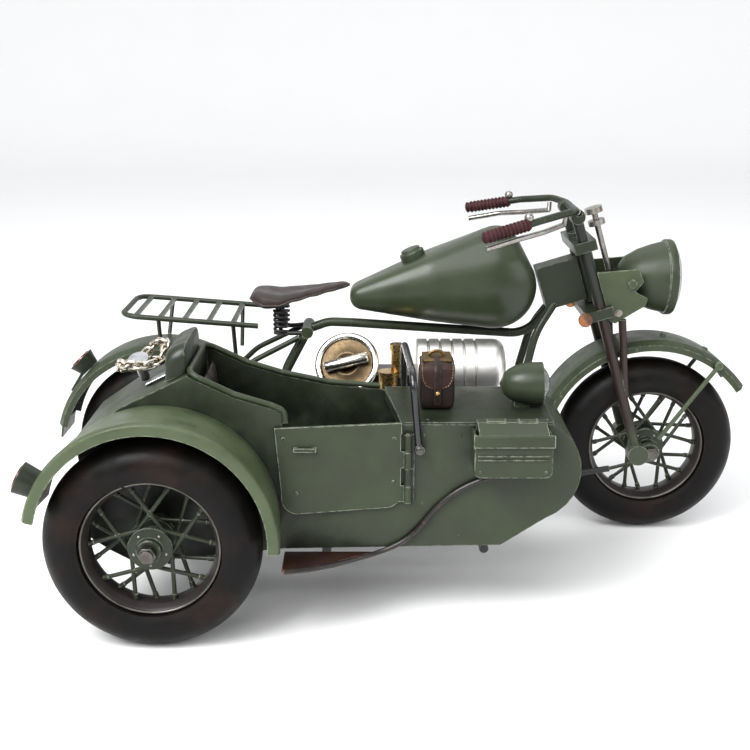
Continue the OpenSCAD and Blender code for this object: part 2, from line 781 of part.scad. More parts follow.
// Side step: a plate whose outer edge is a bent rod that sweeps up to the toolbox
module footboard() {
    r = 1;
    plate_z = 28;
    wall = tub_y - 0.1;
    edge = [[47, -1.4], [56, 0.6], [64, 4], [80, 14]];
    color("sienna") home() translate([0, 0, plate_z]) linear_extrude(1)
        polygon(concat([for (p = edge) [p[0] - 0.7, p[1] + 1.1]], [[79.3, wall], [46.3, wall]]));
    color(steel) home() pipe(concat([for (p = edge) [p[0], p[1], plate_z + 0.6]],
        [[90, 14.9, 32.4], [96.5, 14.9, 38], [103, 14.9, 47], [111, 14.9, 54], [120, 14.9, 58.4],
         [128, 14.9, 60]]), r, 12);
}

// Open-topped box on the sidecar's wall, with end cheeks up to the lid
module toolbox() {
    x0 = box_x[0];
    x1 = box_x[1];
    z0 = box_z[0];
    r = 2.4;
    wall = tub_y - 0.05;
    color(green) home() difference() {
        slab(box_y, wall) polygon(concat(arc([x0 + r, z0 + r], r, 180, 270, 4),
            arc([x1 - r, z0 + r], r, 270, 360, 4), [[x1, box_z[1]], [x0, box_z[1]]]));
        slab(box_y + box_t, wall - box_t) polygon([[x0 + box_t, z0 + box_t], [x1 - box_t, z0 + box_t],
            [x1 - box_t, 90], [x0 + box_t, 90]]);
    }
}

// Leather tool bag on the deck, with a domed flap
module bag() {
    z = deck_z + 1.1;
    color("saddlebrown") home() {
        slab(30, 48) polygon(concat([[97, z], [111, z], [111, z + 13]],
            arc([106, z + 13], 5, 0, 90, 5), arc([102, z + 13], 5, 90, 180, 5)));
        translate([98.2, 32, z + 18]) cube([11.6, 14, 1.2]);
        pipe([[101, 39, z + 19], [101.6, 39, z + 21.4], [106.4, 39, z + 21.4], [107, 39, z + 19]], 0.8, 1.4);
        translate([102.6, 29.2, z + 2.4]) cube([2.8, 1, 12]);
    }
}

module grab_hoop() {
    r = hoop_d / 2;
    near = tub_y - r - 0.15;
    far = tub_far_y + r + 0.15;
    color("black") home() {
        pipe([[96.8, near, 69.6], [94.6, near, 94.6], [94.2, near + 3.4, 98.2], [94, near + 7, 98.8],
              [92.4, far - 7, 98.8], [92.2, far - 3.4, 98.2], [92.2, far, 94.6], [92.2, far, 70]], r, 4);
        translate([97, 0, 70.6]) drum(near - r - 0.5, tub_y - 0.02, 1.7);
    }
}

// A loop of chain around the post on the rear deck: rings in turn flat and on edge
module chain() {
    links = 18;
    centre = [-8.8, 43, 97.4];
    color(steel) home() for (i = [0 : links - 1]) {
        a = i * 360 / links;
        translate(centre + [8.6 * cos(a), 10.4 * sin(a), 2.2 * sin(2 * a) + 3.4 * cos(a)])
            rotate([0, 0, a + 90]) rotate([i % 2 == 0 ? 20 : 100, 0, 0])
            rotate_extrude($fn = 32) translate([1.95, 0]) circle(r = 0.6, $fn = 16);
    }
}

// Post on the rear deck with a pale round cap, and a brass strip at its foot
module chain_post() {
    foot = [-8, 43, 88.4];
    color(steel) home() {
        translate(foot) rotate([26, -10, 0]) {
            translate([0, 0, 1.4]) cylinder(h = 8.6, r = 2);
            translate([0, 0, 9.8]) cylinder(h = 1.8, r = 4.2);
        }
        translate([-6, 31, 89.8]) rotate([0, -26, 0]) cube([9, 6, 0.8]);
    }
}

// ---- hinges, door and lid ----

function knuckle_z(i) = hinge_z0 + i * (knuckle_h + knuckle_gap);

// One knuckle of the door's hinge with the arm that ties it to its leaf
module knuckle(i, x0, x1, y0, y1) {
    translate([pin_x, pin_y, knuckle_z(i)]) cylinder(h = knuckle_h, r = knuckle_r);
    translate([x0, y0, knuckle_z(i)]) cube([x1 - x0, y1 - y0, knuckle_h]);
}

lid_knuckles = [[121.4, 128], [133, 139.6]];
lid_supports = [[117.6, 121.2], [128.2, 132.8], [139.8, 143.4]];

// Fixed halves of both hinges, with their pins
module hinges() {
    wall = tub_y - 0.05;
    color(green) home() {
        for (i = [1, 3]) knuckle(i, pin_x, 95, 14.7, wall);
        translate([93.8, 15.1, hinge_z0]) cube([1.3, wall - 15.1, 4 * knuckle_h]);
        translate([pin_x, pin_y, hinge_z0 - 0.4]) cylinder(h = 4 * (knuckle_h + knuckle_gap) + 0.6, r = door_pin_r);
        translate([0, lid_pin_y, lid_pin_z]) rotate([0, 90, 0]) {
            translate([0, 0, lid_supports[0][0]]) cylinder(h = lid_supports[2][1] - lid_supports[0][0], r = lid_pin_r);
            for (s = lid_supports) translate([0, 0, s[0]]) cylinder(h = s[1] - s[0], r = lid_knuckle_r);
        }
        for (s = lid_supports) translate([s[0], lid_pin_y - 0.6, box_z[1] + 0.05])
            cube([s[1] - s[0], wall - lid_pin_y + 0.6, lid_pin_z - box_z[1]]);
    }
}

module door() {
    z = function (x) 78.4 + (x - door_x0) * 0.045;
    r = 6;
    foot = 44.6;
    color(green) home() difference() {
        union() {
            slab(door_y, door_y + door_t) polygon(concat(
                [[door_x1, z(door_x1)], [door_x0, z(door_x0)], [door_x0 + 2, foot + 9]],
                arc([door_x0 + 8, foot + 6], r, 180, 264, 5), arc([door_x1 - r, foot + 8.6], r, 276, 360, 5)));
            for (i = [0, 2]) knuckle(i, door_x1 - 1.4, pin_x, door_y, door_y + door_t);
            // the handle: a low staple
            translate([50.6, door_y - 1.5, 69.6]) cube([8.2, 1, 1.5]);
            for (x = [50.6, 57.4]) translate([x, door_y - 1, 69.6]) cube([1.4, 1.2, 1.5]);
        }
        for (i = [0, 2]) translate([pin_x, pin_y, knuckle_z(i) - 0.1])
            cylinder(h = knuckle_h + 0.2, r = door_pin_r + run_gap);
        for (i = [1, 3]) translate([door_x1 - 0.3, pin_y - 3, knuckle_z(i) - knuckle_gap])
            cube([5, 6, knuckle_h + 2 * knuckle_gap]);
    }
}

// Sloping lid with a rounded front lip, and two knuckles on the pin
module toolbox_lid() {
    x0 = box_x[0] + 1.6;
    x1 = box_x[1] - 1.6;
    t = 0.9;
    z_front = box_z[1] + 0.35;
    color(green) home() difference() {
        union() {
            translate([x0, 0, 0]) rotate([90, 0, 90]) linear_extrude(x1 - x0)
                polygon([[box_y - 0.3, z_front], [box_y - 0.3, z_front + t], [12.9, lid_pin_z + 0.5],
                         [12.9, lid_pin_z - 0.4]]);
            translate([box_x[0] - 0.4, 0, 0]) rotate([90, 0, 90]) linear_extrude(box_x[1] - box_x[0] + 0.8)
                polygon(concat([[box_y - 0.25, 75], [box_y - 0.25, z_front + t]],
                    arc([box_y - 0.25, z_front + t - 1], 1, 90, 180, 3), [[box_y - 1.25, 75]]));
            for (k = lid_knuckles) translate([k[0], lid_pin_y, lid_pin_z]) rotate([0, 90, 0])
                cylinder(h = k[1] - k[0], r = lid_knuckle_r);
            for (k = lid_knuckles) translate([k[0], 12, lid_pin_z - 0.4]) cube([k[1] - k[0], 1.8, 0.9]);
        }
        translate([lid_knuckles[0][0] - 1, lid_pin_y, lid_pin_z]) rotate([0, 90, 0])
            cylinder(h = 30, r = lid_pin_r + run_gap);
    }
}

sidecar_tyre();
sidecar_rim();
sidecar_spokes();
sidecar_hub();
rear_tyre();
rear_rim();
rear_spokes();
rear_hub();
front_tyre();
front_rim();
front_spokes();
front_hub();
fork_crown();
fork_legs();
front_axle();
handlebar();
grips();
control_levers();
headlamp_shell();
headlamp_lens();
headlamp_brackets();
front_fender();
fender_stays();
side_reflectors();
steering_head();
top_tube();
down_tubes();
seat_tubes();
cradle_rails();
rear_stays();
crankcase();
engine_barrel();
gearbox_cover();
carburettor();
fuel_tank();
tank_cap();
saddle();
saddle_springs();
luggage_rack();
rear_fender();
tail_lamp();
link_tubes();
fixed_axles();
tub();
front_deck();
coaming_bead();
sidecar_seat();
sidecar_fender();
fender_lamp();
lamp_lenses();
footboard();
toolbox();
bag();
grab_hoop();
deck_lamp();
chain();
chain_post();
hinges();
door();
toolbox_lid();
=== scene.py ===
"""Looks for a model motorcycle with a sidecar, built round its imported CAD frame."""

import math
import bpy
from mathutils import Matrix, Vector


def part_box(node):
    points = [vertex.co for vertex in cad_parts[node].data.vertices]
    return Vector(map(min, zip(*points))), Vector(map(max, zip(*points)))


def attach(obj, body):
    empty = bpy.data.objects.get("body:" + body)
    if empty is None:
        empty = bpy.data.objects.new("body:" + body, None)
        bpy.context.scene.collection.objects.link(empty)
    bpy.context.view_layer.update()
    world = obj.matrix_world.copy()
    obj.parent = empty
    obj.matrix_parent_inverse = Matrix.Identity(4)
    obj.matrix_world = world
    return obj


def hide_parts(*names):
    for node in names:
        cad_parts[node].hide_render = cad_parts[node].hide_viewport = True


bl_info = {
    "name": "Model Motorcycle with Sidecar",
    "version": (1, 0, 0),
    "blender": (4, 5, 0),
    "location": "View3D > Sidebar > Motorcycle",
    "description": "Builds the painted sheet metal, wheels, leather and trim round the model's frame",
    "category": "Add Mesh",
}

import bmesh
import bpy
from bpy.props import FloatProperty, FloatVectorProperty, IntProperty, PointerProperty
from mathutils import Matrix, Vector, noise

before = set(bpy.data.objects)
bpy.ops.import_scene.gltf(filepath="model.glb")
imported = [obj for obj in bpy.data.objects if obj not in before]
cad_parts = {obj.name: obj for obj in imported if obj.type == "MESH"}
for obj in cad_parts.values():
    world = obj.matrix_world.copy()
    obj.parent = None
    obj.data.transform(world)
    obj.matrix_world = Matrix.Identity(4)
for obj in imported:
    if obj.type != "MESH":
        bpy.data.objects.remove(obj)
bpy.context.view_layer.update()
MM = 0.001


def middle(node):
    """The middle of a CAD node's box."""
    lo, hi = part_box(node)
    return (lo + hi) / 2


SIDECAR_WHEEL = middle("sidecar_tyre")
BIKE_Y = (middle("rear_tyre").y - SIDECAR_WHEEL.y) / MM


def at(x, y, z):
    """A point given in millimetres from the ground under the sidecar's wheel."""
    return Vector((SIDECAR_WHEEL.x, SIDECAR_WHEEL.y, 0)) + Vector((x, y, z)) * MM


def on_bike(x, y, z):
    """The same, with y measured from the motorcycle's middle plane."""
    return at(x, y + BIKE_Y, z)


# ---- settings ----


def length_property(name, description, default, low, high):
    return FloatProperty(
        name=name, description=description, default=default * MM, min=low * MM, max=high * MM,
        subtype="DISTANCE", unit="LENGTH", precision=5,
    )


def colour_property(name, description, default):
    return FloatVectorProperty(
        name=name, description=description, default=default, size=3, min=0.0, max=1.0, subtype="COLOR",
    )


class WheelSettings(bpy.types.PropertyGroup):
    """Sizes of the three wheels."""

    spokes: IntProperty(
        name="Spokes per Side", description="Spokes on each side of a wheel", default=10, min=6, max=16
    )
    spoke_radius: length_property("Spoke Radius", "Half the thickness of a spoke", 0.8, 0.3, 1.2)
    tyre_ripple: length_property("Tyre Ripple", "Unevenness of the moulded rubber", 0.05, 0.0, 0.3)
    wear: FloatProperty(
        name="Rubber Wear", description="How much reddish wear the rubber shows",
        default=0.34, min=0.0, max=1.0, subtype="FACTOR",
    )


class PaintSettings(bpy.types.PropertyGroup):
    """Colours of the paint and the leather."""

    body: colour_property("Body Green", "Main paint of the sheet metal", (0.029, 0.039, 0.0190))
    # Painted shade: the colour that paint in hollows and corners is darkened toward.
    shade: colour_property("Body Shade", "Darker paint in the hollows", (0.010, 0.013, 0.009))
    rubbed: colour_property("Rubbed Edge", "Paint rubbed thin along the edges", (0.27, 0.29, 0.22))
    rubber: colour_property("Rubber", "Tyre rubber", (0.0040, 0.0036, 0.0034))
    rust: colour_property("Rust Tint", "Reddish tint on rubber and legs", (0.040, 0.018, 0.012))
    leather: colour_property("Bag Leather", "Leather of the tool bag", (0.012, 0.0060, 0.0045))
    saddle: colour_property("Saddle Leather", "Leather of the saddle", (0.030, 0.021, 0.020))


class TrimSettings(bpy.types.PropertyGroup):
    """Sizes of the small hardware."""

    edge_round: length_property("Edge Rounding", "Rounding along sheet metal edges", 0.22, 0.05, 0.6)
    rivet_radius: length_property("Rivet Radius", "Radius of a rivet's head", 0.75, 0.2, 2.0)
    stitch_gap: length_property("Stitch Spacing", "Distance between two stitches", 1.1, 0.4, 3.0)
    chain_links: IntProperty(
        name="Chain Links", description="Links in the loop of chain", default=18, min=8, max=40
    )


# ---- node helpers ----


def wire(tree, kind, sockets=None, **settings):
    """Adds a node, sets its properties, then fills its sockets with values or links."""
    node = tree.nodes.new(kind)
    for key, value in settings.items():
        setattr(node, key, value)
    for key, value in (sockets or {}).items():
        if isinstance(value, bpy.types.NodeSocket):
            tree.links.new(value, node.inputs[key])
        else:
            node.inputs[key].default_value = value
    return node


def maths(tree, operation, first, second=0.0, clamp=False):
    """One Math node's result."""
    node = wire(tree, "ShaderNodeMath", {0: first, 1: second}, operation=operation, use_clamp=clamp)
    return node.outputs[0]


def start_group(name, kind, inputs, outputs):
    """A node group with named sockets, and its input and output nodes."""
    tree = bpy.data.node_groups.new(name, kind)
    for label, socket_type, value in inputs:
        socket = tree.interface.new_socket(label, in_out="INPUT", socket_type="NodeSocket" + socket_type)
        if value is not None:
            socket.default_value = value
    for label, socket_type in outputs:
        tree.interface.new_socket(label, in_out="OUTPUT", socket_type="NodeSocket" + socket_type)
    return tree, tree.nodes.new("NodeGroupInput"), tree.nodes.new("NodeGroupOutput")


# ---- shader groups ----


def object_noise(tree, scale, detail=3.0, stretch=None):
    """Noise in the object's own space, stretched along an axis where that is asked for."""
    place = tree.nodes.new("ShaderNodeTexCoord").outputs["Object"]
    if stretch:
        place = wire(tree, "ShaderNodeMapping", {"Vector": place, "Scale": stretch}).outputs[0]
    return wire(
        tree, "ShaderNodeTexNoise", {"Vector": place, "Scale": scale, "Detail": detail, "Roughness": 0.6}
    ).outputs["Fac"]


def smooth_range(tree, value, low, high, to_low=0.0, to_high=1.0):
    return wire(
        tree, "ShaderNodeMapRange",
        {"Value": value, "From Min": low, "From Max": high, "To Min": to_low, "To Max": to_high},
        interpolation_type="SMOOTHSTEP",
    ).outputs[0]


def edge_wear_group():
    """A mask of rubbed outer edges, broken up by noise."""
    tree, entry, leave = start_group(
        "Edge Wear", "ShaderNodeTree",
        [("Width", "Float", 0.0006), ("Breakup Scale", "Float", 500.0), ("Amount", "Float", 1.0)],
        [("Mask", "Float")],
    )
    rounded = wire(tree, "ShaderNodeBevel", {"Radius": entry.outputs["Width"]}, samples=4)
    plain = tree.nodes.new("ShaderNodeNewGeometry").outputs["Normal"]
    same = wire(
        tree, "ShaderNodeVectorMath", {0: rounded.outputs[0], 1: plain}, operation="DOT_PRODUCT",
    ).outputs["Value"]
    turned = maths(tree, "SUBTRACT", 1.0, same)
    breakup = object_noise(tree, entry.outputs["Breakup Scale"], 4.0)
    patchy = smooth_range(tree, breakup, 0.38, 0.68, 0.08, 1.5)
    hollow = wire(tree, "ShaderNodeAmbientOcclusion", {"Distance": 0.002}, samples=4, only_local=False)
    open_air = smooth_range(tree, hollow.outputs["AO"], 0.35, 0.75)
    worn = maths(tree, "MULTIPLY", maths(tree, "MULTIPLY", turned, patchy), open_air)
    mask = smooth_range(tree, maths(tree, "MULTIPLY", worn, entry.outputs["Amount"]), 0.012, 0.14)
    tree.links.new(mask, leave.inputs["Mask"])
    return tree


def dirt_and_painted_shade_group():
    """A mask of the hollows, from ambient occlusion, for painting shade into them along with settled dirt."""
    tree, entry, leave = start_group(
        "Dirt and Painted Shade", "ShaderNodeTree",
        [("Distance", "Float", 0.012), ("Patch Scale", "Float", 90.0), ("Amount", "Float", 1.0)],
        [("Mask", "Float")],
    )
    hollow = wire(
        tree, "ShaderNodeAmbientOcclusion", {"Distance": entry.outputs["Distance"]},
        samples=6, only_local=False,
    )
    # Painted shade: the more occluded a point, the darker it is painted.
    depth = smooth_range(tree, hollow.outputs["AO"], 0.95, 0.25)
    patch = smooth_range(tree, object_noise(tree, entry.outputs["Patch Scale"]), 0.30, 0.72, 0.45, 1.2)
    mask = maths(tree, "MULTIPLY", maths(tree, "MULTIPLY", depth, patch), entry.outputs["Amount"], clamp=True)
    tree.links.new(mask, leave.inputs["Mask"])
    return tree


def fine_grain_group():
    """A fine height and a soft tone, for sprayed paint, cast metal and rubber."""
    tree, entry, leave = start_group(
        "Fine Grain", "ShaderNodeTree",
        [("Fine Scale", "Float", 2600.0), ("Broad Scale", "Float", 70.0)],
        [("Height", "Float"), ("Tone", "Float")],
    )
    fine = object_noise(tree, entry.outputs["Fine Scale"], 2.0)
    broad = object_noise(tree, entry.outputs["Broad Scale"], 4.0)
    height = maths(tree, "ADD", fine, maths(tree, "MULTIPLY", broad, 1.4))
    tree.links.new(height, leave.inputs["Height"])
    tree.links.new(smooth_range(tree, broad, 0.25, 0.75), leave.inputs["Tone"])
    return tree


def hide_grain_group():
    """The cells, creases and uneven tone of leather."""
    tree, entry, leave = start_group(
        "Hide Grain", "ShaderNodeTree",
        [("Cell Scale", "Float", 900.0)],
        [("Height", "Float"), ("Tone", "Float")],
    )
    place = tree.nodes.new("ShaderNodeTexCoord").outputs["Object"]
    bent = wire(tree, "ShaderNodeTexNoise", {"Vector": place, "Scale": 120.0, "Detail": 2.0})
    offset = wire(
        tree, "ShaderNodeVectorMath", {0: bent.outputs["Color"], 1: (0.004, 0.004, 0.004)},
        operation="MULTIPLY",
    ).outputs[0]
    warped = wire(tree, "ShaderNodeVectorMath", {0: place, 1: offset}, operation="ADD").outputs[0]
    cells = wire(
        tree, "ShaderNodeTexVoronoi", {"Vector": warped, "Scale": entry.outputs["Cell Scale"]},
        feature="DISTANCE_TO_EDGE",
    ).outputs["Distance"]
    crease = smooth_range(tree, object_noise(tree, 150.0, 5.0, (1.0, 1.0, 3.0)), 0.35, 0.6)
    height = maths(tree, "ADD", smooth_range(tree, cells, 0.0, 0.12), maths(tree, "MULTIPLY", crease, 0.8))
    tree.links.new(height, leave.inputs["Height"])
    tree.links.new(smooth_range(tree, object_noise(tree, 110.0, 4.0), 0.3, 0.7), leave.inputs["Tone"])
    return tree


GROUP_MAKERS = {
    "Edge Wear": edge_wear_group,
    "Dirt and Painted Shade": dirt_and_painted_shade_group,
    "Fine Grain": fine_grain_group,
    "Hide Grain": hide_grain_group,
}


def effect(tree, name, **values):
    """Places one of the shared shader groups in a material, with its own values."""
    group = bpy.data.node_groups.get(name) or GROUP_MAKERS[name]()
    node = tree.nodes.new("ShaderNodeGroup")
    node.node_tree = group
    for key, value in values.items():
        node.inputs[key.replace("_", " ").title()].default_value = value
    return node


# ---- materials ----


def rgba(colour):
    return (*colour, 1.0)


def mixed(tree, mask, first, second):
    """Two colours, plain or linked, mixed by a mask."""
    node = tree.nodes.new("ShaderNodeMix")
    node.data_type = "RGBA"
    tree.links.new(mask, node.inputs["Factor"])
    for socket, colour in ((node.inputs[6], first), (node.inputs[7], second)):
        if isinstance(colour, bpy.types.NodeSocket):
            tree.links.new(colour, socket)
        else:
            socket.default_value = rgba(colour)
    return node.outputs[2]


def new_material(name, **plain):
    """A material with its Principled BSDF, whose plain socket values are set by name."""
    material = bpy.data.materials.new(name)
    material.use_nodes = True
    tree = material.node_tree
    shader = tree.nodes["Principled BSDF"]
    for key, value in plain.items():
        shader.inputs[key.replace("_", " ").title().replace("Ior", "IOR")].default_value = value
    return material, tree, shader


def dressed(tree, shader, colour, tone, rough, height, bump):
    """Links a colour, a roughness that follows a tone, and a bump of (strength, distance)."""
    relief = wire(tree, "ShaderNodeBump", {"Height": height, "Strength": bump[0], "Distance": bump[1]})
    tree.links.new(colour, shader.inputs["Base Color"])
    tree.links.new(smooth_range(tree, tone, *rough), shader.inputs["Roughness"])
    tree.links.new(relief.outputs[0], shader.inputs["Normal"])


def painted(
    name, body, shade, rubbed, wear=1.0, shade_and_dirt=0.75, reach=0.014, rough=(0.36, 0.56), coat=0.12, broad=70.0,
):
    """Sprayed paint: uneven tone, painted shade and dirt darkening the hollows, rubbed edges."""
    material, tree, shader = new_material(
        name, specular_ior_level=0.32, coat_weight=coat, coat_roughness=0.22,
    )
    grain = effect(tree, "Fine Grain", fine_scale=2600.0, broad_scale=broad)
    # Painted shade: hollows and corners darken toward the shade colour, together with settled dirt.
    hollow = effect(tree, "Dirt and Painted Shade", distance=reach, amount=shade_and_dirt).outputs["Mask"]
    edge = effect(tree, "Edge Wear", width=0.0006, amount=wear).outputs["Mask"]
    lighter = [min(1.0, c * 1.22) for c in body]
    tone = mixed(tree, grain.outputs["Tone"], [c * 0.84 for c in body], lighter)
    colour = mixed(tree, edge, mixed(tree, hollow, tone, shade), rubbed)
    span = (0.0, 1.0, *rough)
    dressed(tree, shader, colour, grain.outputs["Tone"], span, grain.outputs["Height"], (0.22, 0.00012))
    return material


def bare_metal(name, colour, tarnish, rough=(0.14, 0.34), stretch=(1.0, 1.0, 1.0), shade_and_dirt=0.6, scale=160.0):
    """Bright or brushed metal with tarnish in its hollows and fine scratches."""
    material, tree, shader = new_material(name, metallic=1.0)
    scratch = object_noise(tree, 1500.0, 3.0, stretch)
    cloud = smooth_range(tree, object_noise(tree, scale, 4.0), 0.35, 0.72)
    hollow = effect(tree, "Dirt and Painted Shade", distance=0.006, amount=shade_and_dirt).outputs["Mask"]
    stained = mixed(tree, maths(tree, "MULTIPLY", cloud, 0.55), colour, tarnish)
    colour = mixed(tree, hollow, stained, [c * 0.3 for c in tarnish])
    dressed(tree, shader, colour, scratch, (0.3, 0.7, *rough), scratch, (0.12, 0.00005))
    return material


def rubber_material(name, colour, tint, wear):
    """Moulded rubber with reddish rubbed patches."""
    material, tree, shader = new_material(name, specular_ior_level=0.14)
    grain = effect(tree, "Fine Grain", fine_scale=1900.0, broad_scale=95.0)
    patch = smooth_range(tree, object_noise(tree, 55.0, 5.0), 0.46, 0.74)
    edge = effect(tree, "Edge Wear", width=0.0012, amount=1.2).outputs["Mask"]
    worn = maths(tree, "MULTIPLY", maths(tree, "MAXIMUM", patch, edge), wear)
    tone = mixed(tree, grain.outputs["Tone"], colour, [c * 1.7 for c in colour])
    span = (0.0, 1.0, 0.36, 0.58)
    dressed(tree, shader, mixed(tree, worn, tone, tint), grain.outputs["Tone"], span,
            grain.outputs["Height"], (0.3, 0.00016))
    return material


def leather_material(name, colour, worn_colour, cells=900.0, rough=(0.34, 0.58)):
    """Leather: cells, creases, and a paler rub along the edges."""
    material, tree, shader = new_material(name, specular_ior_level=0.28, sheen_weight=0.02)
    hide = effect(tree, "Hide Grain", cell_scale=cells)
    edge = effect(tree, "Edge Wear", width=0.0010, breakup_scale=350.0, amount=1.3).outputs["Mask"]
    # Painted shade: the leather's hollows darken toward a near-black copy of its colour.
    hollow = effect(tree, "Dirt and Painted Shade", distance=0.006, amount=0.8).outputs["Mask"]
    tone = mixed(tree, hide.outputs["Tone"], [c * 0.62 for c in colour], [c * 1.5 for c in colour])
    dark = mixed(tree, hollow, tone, [c * 0.2 for c in colour])
    span = (0.0, 1.0, *rough)
    dressed(tree, shader, mixed(tree, edge, dark, worn_colour), hide.outputs["Tone"], span,
            hide.outputs["Height"], (0.35, 0.00016))
    return material


def glass_material(name, colour, rough=0.06, strength=0.0):
    """Tinted lens glass with a faintly uneven surface; strength gives an unlit lens a faint painted glow."""
    material, tree, shader = new_material(
        name, transmission_weight=0.85, ior=1.45, coat_weight=0.5, coat_roughness=0.05,
        emission_color=rgba(colour), emission_strength=strength,
    )
    cloud = smooth_range(tree, object_noise(tree, 260.0, 3.0), 0.3, 0.7)
    shaded = mixed(tree, cloud, colour, [c * 0.8 for c in colour])
    span = (0.0, 1.0, rough, rough * 2.5)
    dressed(tree, shader, shaded, cloud, span, object_noise(tree, 600.0, 2.0), (0.08, 0.0001))
    return material


def fork_leg_material(name, paint):
    """Leg paint that goes from dark through red-brown to green at the foot, by height."""
    material, tree, shader = new_material(name, specular_ior_level=0.45, coat_weight=0.12, coat_roughness=0.3)
    grain = effect(tree, "Fine Grain", broad_scale=110.0)
    height = wire(
        tree, "ShaderNodeSeparateXYZ", {0: tree.nodes.new("ShaderNodeTexCoord").outputs["Object"]}
    ).outputs["Z"]
    wander = maths(tree, "ADD", height, maths(tree, "MULTIPLY", grain.outputs["Tone"], 0.006))
    lower = mixed(tree, smooth_range(tree, wander, 0.050, 0.062), paint.body, [c * 0.42 for c in paint.rust])
    upper = mixed(tree, smooth_range(tree, wander, 0.104, 0.116), lower, paint.shade)
    edge = effect(tree, "Edge Wear", amount=0.9).outputs["Mask"]
    # Painted shade: the leg's hollows darken toward the shade colour.
    hollow = effect(tree, "Dirt and Painted Shade", distance=0.008, amount=0.6).outputs["Mask"]
    colour = mixed(tree, edge, mixed(tree, hollow, upper, paint.shade), paint.rubbed)
    span = (0.0, 1.0, 0.32, 0.5)
    dressed(tree, shader, colour, grain.outputs["Tone"], span, grain.outputs["Height"], (0.2, 0.00012))
    return material


MATERIALS = {}


# ---- mesh helpers ----


def link_piece(name, mesh, finish, body, replaces=(), sharp=40.0):
    """Makes a mesh into a finished piece that rides on a body and stands for CAD nodes."""
    piece = bpy.data.objects.new(name, mesh)
    bpy.context.scene.collection.objects.link(piece)
    if finish is not None:
        mesh.materials.clear()
        mesh.materials.append(MATERIALS[finish])
    if sharp is not None:
        mesh.shade_smooth()
        mesh.set_sharp_from_angle(angle=math.radians(sharp))
    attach(piece, body)
    if replaces:
        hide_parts(*replaces)
    return piece


class Shape:
    """Points and faces gathered from lathes, tubes, lofts and plates, in metres."""

    def __init__(self):
        self.points = []
        self.faces = []

    def add(self, points, faces):
        start = len(self.points)
        self.points += [Vector(p) for p in points]
        self.faces += [[start + i for i in face] for face in faces]

    def rings(self, loops, closed=False, caps=True):
        """Joins loops of equal length, in order, with faces."""
        n = len(loops[0])
        points = [p for loop in loops for p in loop]
        spans = len(loops) if closed else len(loops) - 1
        faces = []
        for i in range(spans):
            a, b = i * n, (i + 1) % len(loops) * n
            faces += [[a + j, a + (j + 1) % n, b + (j + 1) % n, b + j] for j in range(n)]
        if caps and not closed:
            faces += [list(range(n))[::-1], [(len(loops) - 1) * n + j for j in range(n)]]
        self.add(points, faces)

    def lathe(self, profile, place, steps=64, ring=False):
        """Turns (radius, along) points in mm about place's Z axis. ring closes the profile."""
        loops = []
        for k in range(steps):
            a = 2 * math.pi * k / steps
            loops.append([place @ (Vector((r * math.cos(a), r * math.sin(a), z)) * MM) for r, z in profile])
        n = len(profile)
        points = [p for loop in loops for p in loop]
        faces = []
        last = n if ring else n - 1
        for k in range(steps):
            a, b = k * n, (k + 1) % steps * n
            faces += [[a + j, b + j, b + (j + 1) % n, a + (j + 1) % n] for j in range(last)]
        self.add(points, faces)

    def tube(self, path, radius, sides=12, closed=False):
        """A tube along points in metres. radius, in metres, is one number or one for each point."""
        radii = radius if hasattr(radius, "__len__") else [radius] * len(path)
        count = len(path)
        loops = []
        up = None
        for i, point in enumerate(path):
            before = path[i - 1] if i or closed else path[0]
            after = path[(i + 1) % count] if i < count - 1 or closed else path[-1]
            along = (after - before).normalized()
            if up is None:
                guess = Vector((0, 0, 1)) if abs(along.z) < 0.9 else Vector((1, 0, 0))
                up = along.cross(guess).normalized()
            up = (up - along * up.dot(along)).normalized()
            side = along.cross(up)
            loops.append([
                point + (up * math.cos(a) + side * math.sin(a)) * radii[i]
                for a in (2 * math.pi * k / sides for k in range(sides))
            ])
        self.rings(loops, closed)

    def plate(self, outline, depth, place):
        """A flat plate: an outline of (x, y) points in mm, thick along place's Z from 0 to depth."""
        low = [place @ (Vector((x, y, 0)) * MM) for x, y in outline]
        high = [place @ (Vector((x, y, depth)) * MM) for x, y in outline]
        self.rings([low, high])

    def mesh(self, name, merge=1e-6):
        """The gathered mesh, its doubles merged and its faces outward."""
        bm = bmesh.new()
        corners = [bm.verts.new(p) for p in self.points]
        for face in self.faces:
            if len(set(face)) > 2:
                bm.faces.new([corners[i] for i in face])
        bmesh.ops.remove_doubles(bm, verts=bm.verts, dist=merge)
        bmesh.ops.recalc_face_normals(bm, faces=bm.faces)
        mesh = bpy.data.meshes.new(name)
        bm.to_mesh(mesh)
        bm.free()
        return mesh


def along_y(centre):
    """A placement whose Z axis runs along the object's +Y, at a centre."""
    return Matrix.Translation(centre) @ Matrix.Rotation(math.radians(-90), 4, "X")


def along_x(centre):
    return Matrix.Translation(centre) @ Matrix.Rotation(math.radians(90), 4, "Y")


def modified(mesh, name, steps):
    """The mesh after some modifiers, each given as (type, settings), baked into a new mesh."""
    host = bpy.data.objects.new(name + "_work", mesh)
    bpy.context.scene.collection.objects.link(host)
    for kind, settings in steps:
        modifier = host.modifiers.new(kind.title(), kind)
        for key, value in settings.items():
            setattr(modifier, key, value)
    graph = bpy.context.evaluated_depsgraph_get()
    result = bpy.data.meshes.new_from_object(host.evaluated_get(graph), depsgraph=graph)
    result.name = name
    bpy.data.objects.remove(host)
    return result


